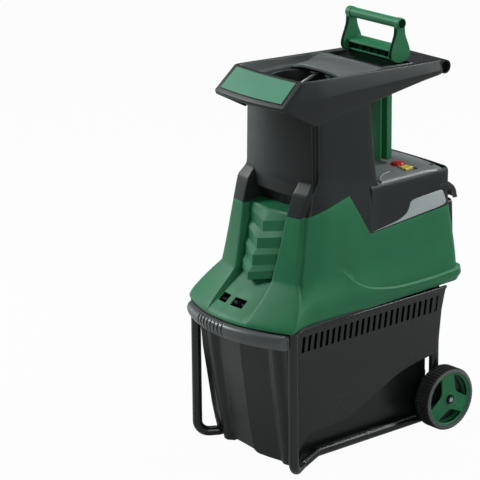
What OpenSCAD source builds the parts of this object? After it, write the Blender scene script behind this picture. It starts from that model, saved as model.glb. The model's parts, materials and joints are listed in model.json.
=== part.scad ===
// Electric garden shredder with a feed hopper, a drum cutter and a pull-out collection box.
// Millimetres, +Z up, +X to the machine's right, the front faces -Y, the floor is at z = 0.

/* [Frame and wheels] */
// Outside diameter of the steel frame tube
tube_d = 24; // [20:1:28]
// Wall of the steel frame tube
tube_wall = 2; // [1.5:0.5:3]
// Bend radius of the frame tube, to its centre line
bend_r = 45; // [42:1:50]
// Gap between each front leg and the collection box
leg_gap = 4; // [3:0.5:8]
// Front leg position, in front of the middle
leg_y = 247; // [244:1:252]
// Distance of each floor rail's centre line inside the box's rear corner
rail_inset = 5; // [3:1:9]
// Height of the floor rail's centre line
rail_z = 27; // [24:1:32]
// Axle position, behind the middle
axle_y = 246; // [242:1:250]
// Axle diameter
axle_d = 12; // [10:1:14]
// Outside diameter of the tyre
wheel_d = 158; // [150:1:164]
// Width of the tyre
tyre_w = 46; // [38:1:50]
// Thickness of the tyre band
tyre_t = 12; // [9:1:15]

/* [Collection box] */
// Height of the box's rim
box_top = 338; // [334:1:340]
// Height of the box's floor underside
box_bottom = 18; // [14:1:26]
// Wall of the box
box_wall = 3; // [2.5:0.5:4]
// Half width of the rim at the front
box_half_front = 162; // [156:1:163]
// Half width of the rim at the rear
box_half_rear = 145; // [138:1:148]
// Rear wall position at the rim
box_rear = 228; // [220:1:230]
// Number of vent slots along each side
vent_count = 22; // [10:1:22]

/* [Housing] */
// Wall of the moulded housings
shell_wall = 3; // [2.5:0.5:4]
// Height of the housing's lower edge
skirt_z = 340; // [340:1:342]
// Half width of the tower
tower_half = 130; // [124:1:134]
// Tower front corners, in front of the middle
tower_front = 126; // [120:1:132]
// Tower rear wall, behind the middle
tower_rear = 47; // [40:1:52]
// Half width of the channel between the front posts
channel_half = 71; // [64:1:78]
// Number of chevron louvres
louvre_count = 4; // [2:1:5]
// Height from one louvre to the next
louvre_pitch = 38.7; // [34:0.1:40]
// Seam between neighbouring housing parts
seam_gap = 0.6; // [0.4:0.1:1.2]

/* [Hopper] */
// Half width of the hopper tray
hopper_half = 121; // [116:1:126]
// Wall of the hopper tray
hopper_wall = 4; // [3:0.5:5]
// Diameter of the feed throat
throat_d = 156; // [140:1:160]
// Throat position, in front of the middle
throat_y = 63; // [58:1:66]
// Diameter of the transport handle tube
handle_d = 34; // [28:1:36]

/* [Plunger] */
// Diameter of the plunger's grip
grip_d = 27; // [22:1:30]
// Half width of the plunger's handle
grip_half = 93; // [86:1:98]
// Plunger position, behind the middle
plunger_y = 165; // [160:1:168]
// Half width of the plunger's blade
blade_half = 50; // [40:1:54]
// Depth of the plunger's blade, front to back
blade_depth = 38; // [28:1:40]
// Length of the plunger's blade below its shelf
blade_len = 239; // [200:1:239]

/* [Cutter and drive] */
// Drum axis, to the right of the middle
drum_x = 20; // [16:1:24]
// Drum axis height
drum_z = 490; // [486:1:494]
// Radius of the cutting drum
drum_r = 52; // [48:1:53]
// Length of the cutting drum
drum_len = 112; // [100:1:116]
// Diameter of the drum shaft
shaft_d = 20; // [16:1:22]
// Teeth of both pinions
pinion_teeth = 8; // [8:1:10]
// Teeth of both large gears
gear_teeth = 66; // [60:1:66]
// Tooth module of the first gear pair
module_fast = 1.5; // [1.4:0.05:1.5]
// Tooth module of the second gear pair
module_slow = 2.25; // [2.1:0.05:2.25]
// Outside diameter of the motor
motor_d = 128; // [116:1:132]
// Running clearance on the radius of a shaft
run_gap = 0.05; // [0.02:0.01:0.1]

/* [Hidden] */

$fn = 48;

// Colours
green = "#1c7a4a";
charcoal = "#3c4042";
grey = "#6d7274";
black = "#1e2021";
steel = "#a7abad";
alloy = "#c2c6c8";

// Frame places
leg_x = box_half_front + tube_d / 2 + leg_gap;
rail_x = box_half_rear - rail_inset;

// Wheel and axle places
wheel_r = wheel_d / 2;
washer_t = 2;
spacer_gap = 0.4;
wheel_in = rail_x + tube_d / 2 + spacer_gap + washer_t + spacer_gap;
wheel_out = wheel_in + tyre_w;
hub_r = wheel_r - tyre_t;
hub_wall = 6;
boss_r = 17;
cap_r = 11;
cap_t = 5;
cap_in = 4;
web_in = 8;
web_t = 5;
window_turn = 20;
tyre_gap = 0.2;
tread_count = 40;
tread_w = 3;
tread_depth = 2;
axle_half = wheel_out + 3;

// Frame tube route: down the leg, round the foot, along the rail and up behind the box
foot_z = tube_d / 2 + 0.1;
toe_in = 30;
foot_dir = [-sin(toe_in), cos(toe_in), 0];
foot_end = [leg_x, -leg_y, foot_z] + bend_r * foot_dir;
rail_start = [rail_x, -leg_y + 105, rail_z];
plug_len = 22;
bolt_d = 8;

// Housing sections: height, front corner x and y, front bow, shoulder x and y, rear corner x and y
housing_top = skirt_z + 350;
housing_rows = [
    [skirt_z, leg_x + 21, leg_y + 9, 58, leg_x + 2, leg_y - 37, box_half_rear + 7, axle_y + 54],
    [skirt_z + 12, leg_x + 25, leg_y + 5, 60, leg_x + 3, leg_y - 39, box_half_rear + 8, axle_y + 58],
    [skirt_z + 35, leg_x + 16, leg_y - 4, 52, leg_x + 1, leg_y - 42, box_half_rear + 10, axle_y + 66],
    [skirt_z + 60, leg_x + 2, leg_y - 18, 42, leg_x - 4, leg_y - 47, box_half_rear + 11, axle_y + 74],
    [skirt_z + 90, leg_x - 17, leg_y - 36, 32, leg_x - 14, leg_y - 67, box_half_rear + 9, axle_y + 78],
    [skirt_z + 118, tower_half + 13, tower_front + 69, 26, tower_half + 26, tower_front + 24,
        box_half_rear + 6, axle_y + 74],
    [skirt_z + 190, tower_half + 9, tower_front + 52, 22, tower_half + 20, tower_front - 6,
        tower_half + 16, axle_y + 60],
    [skirt_z + 266, tower_half + 6, tower_front + 35, 18, tower_half + 14, tower_front - 16,
        tower_half + 11, axle_y + 54],
    [housing_top, tower_half + 2, tower_front + 22, 18, tower_half + 3, tower_front - 20,
        tower_half + 3, tower_rear]];
corner_r = 16;
shoulder_r = 14;
rear_r = 34;

// Seam between the green housing and the dark parts above it, in the side view
seam_front = [-(tower_front + 60), skirt_z + 268];
seam_peak = [-35, skirt_z + 303];
seam_foot = [24, skirt_z + 200];
seam_rear = [axle_y + 90, skirt_z + 222];

// Rear cover and control deck
cover_half = tower_half + 11;
cover_top = skirt_z + 312;
cover_rear = axle_y + 52;
deck_half = tower_half + 9;
deck_hole_half = tower_half - 5;
deck_front = tower_rear + 12;
deck_rear = cover_rear - 26;
deck_bulge = 24;
deck_edge = 4;
deck_crown = 20;
deck_t = 3;
head_seat = 1.2;
module_half = cover_half - 17;
button_y = plunger_y + 13;
stop_x = 78;
start_x = -78;
switch_x = 110;
button_d = 30;
button_gap = 0.5;
button_proud = 7;
rocker_side = 26;
screw_d = 5;

// Hopper sections share the housing's row form, with a slope of the height along Y in the last value
rim_z = 929;
rim_slope = -0.05;
crease_z = 892;
under_z = 844;
under_slope = 0.139;
hopper_rear = axle_y + 26;
floor_z = 905;
handle_y = hopper_rear + 0.3 + handle_d / 2;
handle_z = 898;
rim_row = [rim_z, hopper_half + 1, 166, 8, hopper_half + 1, 100, hopper_half - 1, hopper_rear];
lip_row = [crease_z, hopper_half - 3, 222, 14, hopper_half + 11, 114, hopper_half + 9, hopper_rear];
under_row = [under_z, tower_half - 4, tower_front + 3, 16, tower_half - 4, 100, tower_half - 6,
    hopper_rear];
slot_gap = 2;
deck_plate_z = 912;
chute_wall = 3;
chute_gap = 0.3;

// Plunger
shelf_z = deck_plate_z;
shelf_t = 12;
grip_z = shelf_z + 108;
grip_y = plunger_y + 9;
pear_r = 22;

// Gear train, all axes along Y
dist_slow = module_slow * (pinion_teeth + gear_teeth) / 2;
dist_fast = module_fast * (pinion_teeth + gear_teeth) / 2;
lay_angle = 147;
lay_x = drum_x + dist_slow * cos(lay_angle);
lay_z = drum_z + dist_slow * sin(lay_angle);
motor_angle = -25;
motor_x = lay_x + dist_fast * cos(motor_angle);
motor_z = lay_z + dist_fast * sin(motor_angle);
lay_shaft_d = 12;
motor_shaft_d = 14;

// Cutting chamber and drive places along Y
chamber_wall = 6;
chamber_y0 = -131;
drum_y0 = chamber_y0 + chamber_wall + 6;
drum_y1 = drum_y0 + drum_len;
chamber_y1 = drum_y1 + 6 + chamber_wall;
chamber_half = 96;
chamber_top = skirt_z + 250;
bearing_d = 47;
bearing_w = 14;
case_wall = 6;
case_y0 = chamber_y1;
case_y1 = case_y0 + 78;
gear_slow_y = case_y0 + 18;
gear_slow_w = 16;
gear_fast_y = gear_slow_y + gear_slow_w + 14;
gear_fast_w = 10;
motor_y0 = case_y1 + case_wall;
motor_len = 128;
motor_y1 = motor_y0 + motor_len;
fan_y = motor_y1 + 10;
fan_w = 22;
fan_r = 54;

// Channel between the posts and the slanted tops of the posts
channel_floor = skirt_z + 126;
roof_edge = [-(tower_front + 27.5), skirt_z + 325];
roof_back = [-(tower_front + 8.5), skirt_z + 347];
roof_t = 4;

// Base pan
pan_t = 6;
pan_z = skirt_z + 4;
pan_top = pan_z + pan_t;

// Counter plate and its adjusting screw
blade_proud = 4;
plate_gap = 4;
plate_t = 12;
plate_face = drum_x - drum_r - blade_proud - plate_gap;
screw_bolt_d = 12;
screw_y = (drum_y0 + drum_y1) / 2;
plate_z0 = drum_z - 50;
plate_z1 = drum_z + 50;
knob_r = 30;
knob_t = 24;
knob_gap = 2;
knob_in = max(tower_half + 26, box_half_rear + 9) + knob_gap;

// Collection box
box_front = leg_y + 4;
lip_z = 300;
lip_front = 325;
recess_gap = 6;
recess_half = rail_x - tube_d / 2 - recess_gap;
vent_start = -206;
vent_step = 19.4;
vent_w = 8;
seat_gap = 0.3;
band_gap = 0.1;
latch_z = skirt_z + 48;
pin_x = -85;
pin_y = -205;
pin_d = 8;
pin_gap = 0.4;
pin_travel = 2.5;

// Geometry helpers

function unit(v) = v / norm(v);

// Points of a fillet of radius r at corner b between its neighbours a and c
function fillet(a, b, c, r, n) =
    let (u = unit(a - b), w = unit(c - b), h = acos(u * w) / 2,
         m = b + unit(u + w) * r / sin(h),
         s = b + u * r / tan(h) - m,
         e = b + w * r / tan(h) - m,
         t = 180 - 2 * h)
    [for (i = [0:n]) m + (sin((1 - i / n) * t) * s + sin(i / n * t) * e) / sin(t)];

function bow_points(cx, cy, bow, n = 10) =
    [for (i = [1:n - 1]) let (t = -1 + 2 * i / n) [cx * t, -cy - bow * (1 - t * t)]];

// Plan outline of one section, anticlockwise from above, pulled in by inset all round
function outline(row, inset, n = 4) =
    let (c = [row[1] - inset, inset - row[2]], s = [row[4] - inset, -row[5]],
         r = [row[6] - inset, row[7] - inset],
         cl = [-c[0], c[1]], sl = [-s[0], s[1]], rl = [-r[0], r[1]],
         b = bow_points(c[0], -c[1], row[3]))
    concat(fillet(sl, cl, b[0], corner_r, n), b, fillet(b[len(b) - 1], c, s, corner_r, n),
           fillet(c, s, r, shoulder_r, 2), fillet(s, r, rl, rear_r, n),
           fillet(r, rl, sl, rear_r, n), fillet(rl, sl, cl, shoulder_r, 2));

// One ring of points of a section, on a plane that slopes along Y
function ring(row, inset, lift = 0, slope = 0) =
    [for (p = outline(row, inset)) [p[0], p[1], row[0] + lift + slope * p[1]]];

// Closed skin through rings of equal point counts, lowest ring first
module loft(rings) {
    n = len(rings[0]);
    m = len(rings);
    sides = [for (k = [0:m - 2], i = [0:n - 1])
        let (a = k * n + i, b = k * n + (i + 1) % n)
        each [[a, a + n, b + n], [a, b + n, b]]];
    polyhedron([for (r = rings) each r],
        concat([[for (i = [0:n - 1]) i]], sides, [[for (i = [n - 1:-1:0]) (m - 1) * n + i]]));
}

// Closed slab between an outer and an inner grid of points
module slab(outer, inner) {
    m = len(outer);
    n = len(outer[0]);
    k = m * n;
    skin = [for (i = [0:m - 2], j = [0:n - 2])
        let (a = i * n + j, b = a + 1, c = a + n + 1, d = a + n)
        each [[a, c, b], [a, d, c], [k + a, k + b, k + c], [k + a, k + c, k + d]]];
    ends = [for (j = [0:n - 2], e = [0, m - 1])
        let (a = e * n + j, b = a + 1)
        each e == 0 ? [[a, b, k + b], [a, k + b, k + a]] : [[a, k + b, b], [a, k + a, k + b]]];
    flanks = [for (i = [0:m - 2], e = [0, n - 1])
        let (a = i * n + e, b = a + n)
        each e == 0 ? [[a, k + b, b], [a, k + a, k + b]] : [[a, b, k + b], [a, k + b, k + a]]];
    polyhedron(concat([for (r = outer) each r], [for (r = inner) each r]), concat(skin, ends, flanks));
}

// Prism of a side-view outline (Y, Z), centred across X
module side_prism(points, width) {
    rotate([90, 0, 90])
        translate([0, 0, -width / 2])
            linear_extrude(width) polygon(points);
}

// Cylinder along X or Y between two coordinates
module rod_x(x0, x1, y, z, d) {
    translate([x0, y, z]) rotate([0, 90, 0]) cylinder(d = d, h = x1 - x0);
}

module rod_y(y0, y1, x, z, d) {
    translate([x, y0, z]) rotate([-90, 0, 0]) cylinder(d = d, h = y1 - y0);
}

module block(low, high) {
    translate(low) cube(high - low);
}

module mirror_pair() {
    children();
    mirror([1, 0, 0]) children();
}

// Everything below the seam line, or above it when the gap is negative
module below_seam(gap) {
    side_prism([[-500, 0], [500, 0], [500, seam_rear[1] - gap], [seam_rear[0], seam_rear[1] - gap],
        [seam_foot[0] - gap, seam_foot[1] - gap], [seam_peak[0] - gap, seam_peak[1] - gap],
        [seam_front[0], seam_front[1] - gap], [-500, seam_front[1] - gap]], 600);
}

// Turning angle of a route at one of its corners, and the length that its bend takes there
function turn(p, i) = acos(unit(p[i] - p[i - 1]) * unit(p[i + 1] - p[i]));
function trim(p, i) = i == 0 || i == len(p) - 1 ? 0 : bend_r * tan(turn(p, i) / 2);

// Places its children with their X, Y and Z along three given directions
module oriented(x, y, z, origin) {
    multmatrix([[x[0], y[0], z[0], origin[0]], [x[1], y[1], z[1], origin[1]],
                [x[2], y[2], z[2], origin[2]], [0, 0, 0, 1]]) children();
}

// Round bar along a route of corner points, with a bend at each inner corner. A ball a little wider than
// the bar joins each bend to its neighbours, which stop just short of it.
module bent_bar(p, d) {
    n = len(p);
    short = 0.3;
    for (i = [0:n - 2]) {
        u = unit(p[i + 1] - p[i]);
        a = p[i] + u * (trim(p, i) + (i == 0 ? 0 : short));
        b = p[i + 1] - u * (trim(p, i + 1) + (i == n - 2 ? 0 : short));
        side = unit(cross(u, abs(u[2]) > 0.9 ? [1, 0, 0] : [0, 0, 1]));
        oriented(side, cross(u, side), u, a) cylinder(d = d, h = norm(b - a));
    }
    for (i = [1:n - 2]) {
        u = unit(p[i] - p[i - 1]);
        w = unit(p[i + 1] - p[i]);
        inward = unit(w - (u * w) * u);
        start = p[i] - u * trim(p, i);
        oriented(-inward, u, cross(-inward, u), start + bend_r * inward)
            rotate_extrude(angle = turn(p, i)) translate([bend_r, 0]) circle(d = d);
        for (q = [start, p[i] + w * trim(p, i)])
            translate(q) sphere(d = d + 0.2);
    }
}

// Frame

function tube_route(drop) = [
    [leg_x, -leg_y, pan_z - drop], [leg_x, -leg_y, foot_z], foot_end + 12 * foot_dir, rail_start,
    [rail_x, axle_y, rail_z], [rail_x, axle_y, pan_z - drop]];

module frame_tube() {
    difference() {
        bent_bar(tube_route(0), tube_d);
        bent_bar(tube_route(plug_len), tube_d - 2 * tube_wall);
        rod_x(rail_x - tube_d, rail_x + tube_d, axle_y, wheel_r, axle_d + 2 * run_gap);
        for (p = [[leg_x, -leg_y], [rail_x, axle_y]])
            translate([p[0], p[1], pan_z - plug_len - 5])
                cylinder(d = bolt_d + 2 * run_gap, h = plug_len + 10);
    }
}

module frame_tube_right() color(black) frame_tube();

module frame_tube_left() color(black) mirror([1, 0, 0]) frame_tube();

module frame_bolts() color(steel)
    mirror_pair()
        for (p = [[leg_x, -leg_y], [rail_x, axle_y]])
            translate([p[0], p[1], 0]) {
                translate([0, 0, pan_z - plug_len + 2]) cylinder(d = bolt_d, h = plug_len - 2 + pan_t + 1);
                translate([0, 0, pan_top]) cylinder(d = 2 * bolt_d, h = bolt_d * 0.7, $fn = 6);
            }

module axle() color(steel) rod_x(-axle_half, axle_half, axle_y, wheel_r, axle_d);

module wheel_spacers() color(steel)
    mirror_pair()
        difference() {
            rod_x(wheel_in - washer_t - spacer_gap, wheel_in - spacer_gap, axle_y, wheel_r, 2 * boss_r);
            rod_x(0, wheel_out, axle_y, wheel_r, axle_d + 2 * run_gap);
        }

module axle_caps() color(steel)
    mirror_pair()
        difference() {
            rod_x(wheel_out - cap_in + spacer_gap, wheel_out - cap_in + spacer_gap + cap_t, axle_y, wheel_r,
                2 * cap_r);
            rod_x(0, wheel_out + cap_t, axle_y, wheel_r, axle_d + 2 * run_gap);
        }

// Wheel disc with three curved windows, a rim and a hub boss, turned about X
module wheel_disc() {
    translate([0, axle_y, wheel_r]) rotate([0, 90, 0])
        difference() {
            union() {
                difference() {
                    translate([0, 0, wheel_in + 2]) cylinder(r = hub_r, h = tyre_w - 4);
                    translate([0, 0, wheel_in]) cylinder(r = hub_r - hub_wall, h = tyre_w - web_in - web_t);
                    translate([0, 0, wheel_out - web_in]) cylinder(r = hub_r - hub_wall, h = tyre_w);
                }
                translate([0, 0, wheel_in]) cylinder(r = boss_r, h = tyre_w - cap_in);
            }
            translate([0, 0, wheel_in - 1]) cylinder(r = axle_d / 2 + run_gap, h = tyre_w + 2);
            for (k = [0:2])
                rotate([0, 0, 120 * k + window_turn])
                    translate([0, 0, wheel_in])
                        linear_extrude(tyre_w) polygon(window_points());
        }
}

// Rounded window between two radii, 74 degrees wide at the rim
function window_points() =
    let (r_in = boss_r + 7, r_out = hub_r - hub_wall - 7)
    concat([for (a = [-37:74 / 8:37]) r_out * [cos(a), sin(a)]],
           [for (a = [1:-0.25:-1]) [r_in + (r_out * 0.62 - r_in) * pow(abs(a), 1.5), r_out * 0.56 * a]]);

module wheel_right() color(green) wheel_disc();

module wheel_left() color(green) mirror([1, 0, 0]) wheel_disc();

// Tyre band with cross grooves in its tread
module tyre() {
    translate([0, axle_y, wheel_r]) rotate([0, 90, 0])
        difference() {
            translate([0, 0, wheel_in])
                rotate_extrude($fn = 96)
                    polygon([[hub_r + tyre_gap, 2], [wheel_r - 8, 0], [wheel_r - 2, 4],
                             [wheel_r, tyre_w * 0.3], [wheel_r, tyre_w * 0.7], [wheel_r - 2, tyre_w - 4],
                             [wheel_r - 8, tyre_w],
                             [hub_r + tyre_gap, tyre_w - 2]]);
            for (k = [0:tread_count - 1])
                rotate([0, 0, 360 / tread_count * (k + 0.5)])
                    translate([wheel_r - tread_depth, -tread_w / 2, wheel_in + tyre_w * 0.12])
                        cube([10, tread_w, tyre_w * 0.76]);
        }
}

module tyre_right() color(black) tyre();

module tyre_left() color(black) mirror([1, 0, 0]) tyre();

// Collection box

function recess_z(y) = 135 - 55 * cos(180 * min(max((y + 150) / 400, 0), 1));

function recess_side(extra) = concat(
    [[-222 - extra, 0], [-206 - extra, 58]],
    [for (i = [0:12]) let (y = -186 + 38 * i) [y, recess_z(y) + extra]],
    [[300, recess_z(300) + extra], [300, 0]]);

module box_recess(half, extra) {
    mirror_pair()
        intersection() {
            side_prism(recess_side(extra), 800);
            block([half, -400, -10], [400, 400, 300]);
        }
}

box_rows = [
    [box_bottom, box_half_front - 14, box_front - 14, 8, box_half_front - 16, 150, box_half_rear - 15,
        box_rear - 38],
    [box_top, box_half_front, box_front, 8, box_half_front - 2, 150, box_half_rear, box_rear]];

grip_rows = [
    [lip_z, leg_x + 2, lip_front - 70, 56],
    [lip_z + 14, leg_x + 12, lip_front - 62, 60],
    [lip_z + 28, leg_x + 14, lip_front - 60, 60],
    [box_top, leg_x + 10, lip_front - 63, 60]];

function grip_row(row) = concat(row, [row[1] - 10, 180, row[1] - 14, 0]);

// Band across the front of the box, open below for the fingers
module box_grip_band() color(charcoal)
    difference() {
        union() {
            intersection() {
                difference() {
                    loft([for (r = grip_rows) ring(grip_row(r), 0)]);
                    loft([for (i = [0:2]) ring(grip_row(grip_rows[i]), box_wall + 1, i == 0 ? -1 : 0)]);
                }
                block([-300, -400, 0], [300, -(leg_y + tube_d / 2 + 2), 400]);
            }
            block([-box_half_front + 12, -(leg_y + tube_d / 2 + 4), lip_z + 30],
                  [box_half_front - 12, -box_front + 20, box_top]);
        }
        loft([ring(box_rows[0], -band_gap, -1), ring(box_rows[1], -band_gap, 1)]);
    }

module collection_box() color(black) {
    difference() {
        loft([for (r = box_rows) ring(r, 0)]);
        box_recess(recess_half, 0);
        difference() {
            loft([ring(box_rows[0], box_wall, box_wall), ring(box_rows[1], box_wall, 1)]);
            box_recess(recess_half - box_wall, box_wall);
        }
        for (k = [0:vent_count - 1])
            block([-300, vent_start + k * vent_step, box_top - 40], [300, vent_start + k * vent_step + vent_w,
                box_top - 10]);
    }
    mirror_pair()
        block([recess_half - box_wall, -130, rail_z + tube_d / 2 + seat_gap],
              [rail_x, 150, rail_z + tube_d / 2 + seat_gap + 5]);
}

module box_latch() color(black) {
    block([-62, -266, latch_z], [30, -252, latch_z + 6]);
    block([-10, -283, latch_z + 1.5], [4, -260, latch_z + 11]);
}

module box_switch() color(black)
    difference() {
        block([-100, -215, pan_top], [-70, -195, pan_top + 26]);
        translate([pin_x, pin_y, pan_top - 1]) cylinder(d = pin_d + 2 * pin_gap, h = 16 + pin_travel);
    }

module box_switch_pin() color("crimson")
    translate([pin_x, pin_y, box_top + seat_gap]) cylinder(d = pin_d, h = pan_top + 12 - box_top - seat_gap);

// Housings

module pan_outline() {
    polygon([[-leg_x - 6, -leg_y - 6], [leg_x + 6, -leg_y - 6], [leg_x + 12, -leg_y + 9],
             [leg_x - 1.6, -leg_y + 38],
             [box_half_rear + 3.4, axle_y + 16], [box_half_rear - 30, axle_y + 48],
             [30 - box_half_rear, axle_y + 48], [-box_half_rear - 3.4, axle_y + 16],
             [1.6 - leg_x, -leg_y + 38], [-leg_x - 12, -leg_y + 9]]);
}

module base_pan() color(black)
    difference() {
        translate([0, 0, pan_z]) linear_extrude(pan_t) pan_outline();
        for (x = [-60, 60])
            rod_y(axle_y, 400, x, pan_z + pan_t / 2, screw_d + 2 * run_gap);
        for (p = chamber_bolt_places())
            translate([p[0], p[1], 0]) cylinder(d = bolt_d + 2 * run_gap, h = 500);
        block([-chamber_half + 20, chamber_y0 + 16, 0], [chamber_half - 20, chamber_y1 - 16, 500]);
        for (x = [-1, 1], p = [[leg_x, -leg_y], [rail_x, axle_y]])
            translate([x * p[0], p[1], 0]) cylinder(d = bolt_d + 2 * run_gap, h = 500);
        translate([pin_x, pin_y, 0]) cylinder(d = pin_d + 2 * pin_gap, h = 500);
    }

module channel_cut(half) {
    side_prism([[-(tower_front + 25), housing_top + 40], [-(tower_front + 40), skirt_z + 268],
                [-(tower_front + 72), channel_floor], [-500, channel_floor], [-500, housing_top + 40]],
        2 * half);
}

module housing_skin(inset) {
    loft([for (i = [0:len(housing_rows) - 1])
        ring(housing_rows[i], inset, inset == 0 ? 0 : i == 0 ? -1 : i == len(housing_rows) - 1 ? 1 : 0)]);
}

module lower_housing() color(green)
    difference() {
        intersection() {
            union() {
                difference() {
                    housing_skin(0);
                    housing_skin(shell_wall);
                }
                intersection() {
                    housing_skin(0);
                    union() {
                        channel_cut(channel_half + shell_wall);
                        block([-80, -300, latch_z - 7], [40, -250, latch_z - seat_gap]);
                    }
                }
            }
            below_seam(seam_gap);
        }
        channel_cut(channel_half);
        for (w = [[-58, -36], [-14, 28]])
            block([w[0], -300, latch_z + 0.5], [w[1], -261, latch_z + 16]);
        for (x = [-60, 60]) {
            rod_y(0, 400, x, pan_z + pan_t / 2, screw_d + 2 * run_gap);
            rod_y(axle_y + 56.9, 400, x, pan_z + pan_t / 2, 2 * screw_d + 2 * seat_gap);
        }
        rod_x(-300, -100, screw_y, drum_z, screw_bolt_d + 10);
    }

module louvre_panel() color(green) {
    panel_y = seam_gap - tower_front;
    side_prism([[panel_y - 40, skirt_z + 266], [panel_y - 72, skirt_z + 118], [panel_y - 67, skirt_z + 116],
                [panel_y - 35, skirt_z + 264]], 2 * (channel_half + shell_wall));
    block([-channel_half + 0.4, -(tower_front + 41), skirt_z + 262],
          [channel_half - 0.4, -tower_front, skirt_z + 276]);
    for (k = [0:louvre_count - 1])
        mirror_pair()
            intersection() {
                translate([0, -(tower_front + 60) - 14 * k, skirt_z + 220 - louvre_pitch * k])
                    rotate([0, 0, 17])
                        rotate([90, 0, 90])
                            linear_extrude(2 * channel_half)
                                polygon([[0, 0], [30, 0], [30, 34], [22, 34], [0, 22]]);
                block([0, -400, channel_floor + seat_gap], [channel_half - 0.4, 0, housing_top]);
            }
}

module tower_skin(inset) {
    rows = [
        [skirt_z + 258, tower_half + 1, tower_front, 22, tower_half + 1.5, tower_front - 40, tower_half + 1,
            tower_rear],
        [crease_z - 10, tower_half - 5, tower_front, 22, tower_half - 4.5, tower_front - 40, tower_half - 5,
            tower_rear]];
    loft([ring(rows[0], inset, inset == 0 ? 0 : -1), ring(rows[1], inset, inset == 0 ? 0 : 1)]);
}

// Everything under the hopper's sloping lower edge
module below_hopper(gap) {
    side_prism([[-500, 0], [500, 0], [500, under_z + under_slope * 500 - gap],
                [-500, under_z - under_slope * 500 - gap]], 600);
}

// Everything under the slanted tops of the posts
module below_roof(drop) {
    fall = (roof_back[1] - roof_edge[1]) / (roof_back[0] - roof_edge[0]);
    front = [roof_edge[0] - 60, roof_edge[1] - 60 * fall - drop];
    side_prism([[-500, 0], [500, 0], [500, roof_back[1] - drop], [roof_back[0], roof_back[1] - drop], front,
                [-500, front[1]]], 600);
}

// Skin of the posts beside the channel, closed on top against the tower
module post_skin() {
    difference() {
        housing_skin(0);
        intersection() {
            housing_skin(shell_wall);
            below_roof(roof_t);
        }
    }
    intersection() {
        housing_skin(0);
        channel_cut(channel_half + shell_wall);
    }
}

module tower_shell() color(charcoal)
    difference() {
        union() {
            intersection() {
                difference() {
                    tower_skin(0);
                    tower_skin(shell_wall);
                }
                below_hopper(seam_gap);
            }
            difference() {
                intersection() {
                    post_skin();
                    block([-300, -400, 0], [300, seam_peak[0], housing_top]);
                    below_roof(0);
                }
                tower_skin(shell_wall);
            }
        }
        channel_cut(channel_half);
        below_seam(0);
    }

module feed_chute() color(black)
    translate([0, -throat_y, 0])
        rotate_extrude()
            polygon([[throat_d / 2 - 20, chamber_top], [throat_d / 2 - 20 + chute_wall, chamber_top],
                     [throat_d / 2 + chute_wall, floor_z - hopper_wall - chute_gap],
                     [throat_d / 2, floor_z - hopper_wall - chute_gap]]);

module rear_cover() color(charcoal)
    difference() {
        cover_solid(0);
        intersection() {
            cover_solid(shell_wall);
            block([-400, -400, 0], [400, 400, cover_top - shell_wall]);
        }
        below_seam(0);
        translate([0, 0, 100]) linear_extrude(900) polygon(outline([0, tower_half + 3, tower_front + 40, 22,
            tower_half + 3.5, tower_front - 40, tower_half + 3, tower_rear + 2], 0));
        block([-deck_hole_half, deck_front + 6, 300], [deck_hole_half, deck_rear - 6, 900]);
        for (p = deck_screw_places())
            translate([p[0], p[1], 600]) cylinder(d = screw_d + 2 * run_gap, h = 200);
    }

module cover_solid(inset) {
    translate([0, 0, skirt_z + 150])
        linear_extrude(cover_top - skirt_z - 150)
            polygon(outline([0, cover_half, -seam_peak[0], 0.5, cover_half + 0.5, -60, cover_half - 1,
                cover_rear], inset));
}

function deck_z(x) = cover_top + deck_crown - (deck_crown - deck_edge) * pow(x / deck_half, 2);

function deck_screw_places() = [for (x = [-100, 100], y = [deck_front + 3, deck_rear - 3]) [x, y]];

function post_places() = [for (x = [-112, 112]) [x, button_y + 25]];

// Lid arched across X with a rounded rear edge, its top and edges pulled in by drop
module deck_arch(drop) {
    steps = 16;
    half = deck_half - drop;
    across = [for (i = [0:steps]) (1 - 2 * i / steps) * half];
    intersection() {
        translate([0, cover_rear, 0])
            rotate([90, 0, 0])
                linear_extrude(cover_rear - deck_front)
                    polygon(concat([for (x = across) [x, deck_z(x) - drop]],
                        [[-half, cover_top - drop], [half, cover_top - drop]]));
        linear_extrude(2 * cover_top)
            polygon(concat([[-half, deck_front + drop], [half, deck_front + drop]],
                [for (x = across) [x, deck_rear - drop + deck_bulge * (1 - pow(x / half, 2))]]));
    }
}

module control_deck() color(grey)
    difference() {
        union() {
            difference() {
                deck_arch(0);
                deck_arch(deck_t);
            }
            intersection() {
                deck_arch(0);
                for (p = deck_screw_places())
                    translate([p[0], p[1], cover_top]) cylinder(d = 10, h = 60);
            }
            for (p = post_places())
                translate([p[0], p[1], cover_top - 12]) cylinder(d = 10, h = deck_z(112) - cover_top + 10);
        }
        for (x = [stop_x, start_x])
            translate([x, button_y, 0]) cylinder(d = button_d + 2 * button_gap, h = 900);
        block([switch_x - rocker_side / 2 - 0.6, button_y - rocker_side / 2 - 0.6, 400],
              [switch_x + rocker_side / 2 + 0.6, button_y + rocker_side / 2 + 0.6, 900]);
        for (p = concat(deck_screw_places(), post_places()))
            translate([p[0], p[1], 0]) {
                cylinder(d = screw_d + 2 * run_gap, h = 900);
                translate([0, 0, deck_z(p[0]) - head_seat]) cylinder(d = 2 * screw_d + 2 * seat_gap, h = 50);
            }
    }

module deck_screws() color(steel)
    for (p = concat(deck_screw_places(), post_places()))
        translate([p[0], p[1], 0]) {
            translate([0, 0, cover_top - 11]) cylinder(d = screw_d, h = deck_z(p[0]) - cover_top + 11);
            translate([0, 0, deck_z(p[0]) - head_seat + 0.05]) cylinder(d = 2 * screw_d, h = 2);
        }

module push_button(x) {
    translate([x, button_y, cover_top - 6])
        cylinder(d = button_d, h = deck_z(x) + button_proud - cover_top + 6);
    translate([x, button_y, cover_top + 2]) cylinder(d = button_d + 6, h = 4);
}

module stop_button() color("firebrick") push_button(stop_x);

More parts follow.
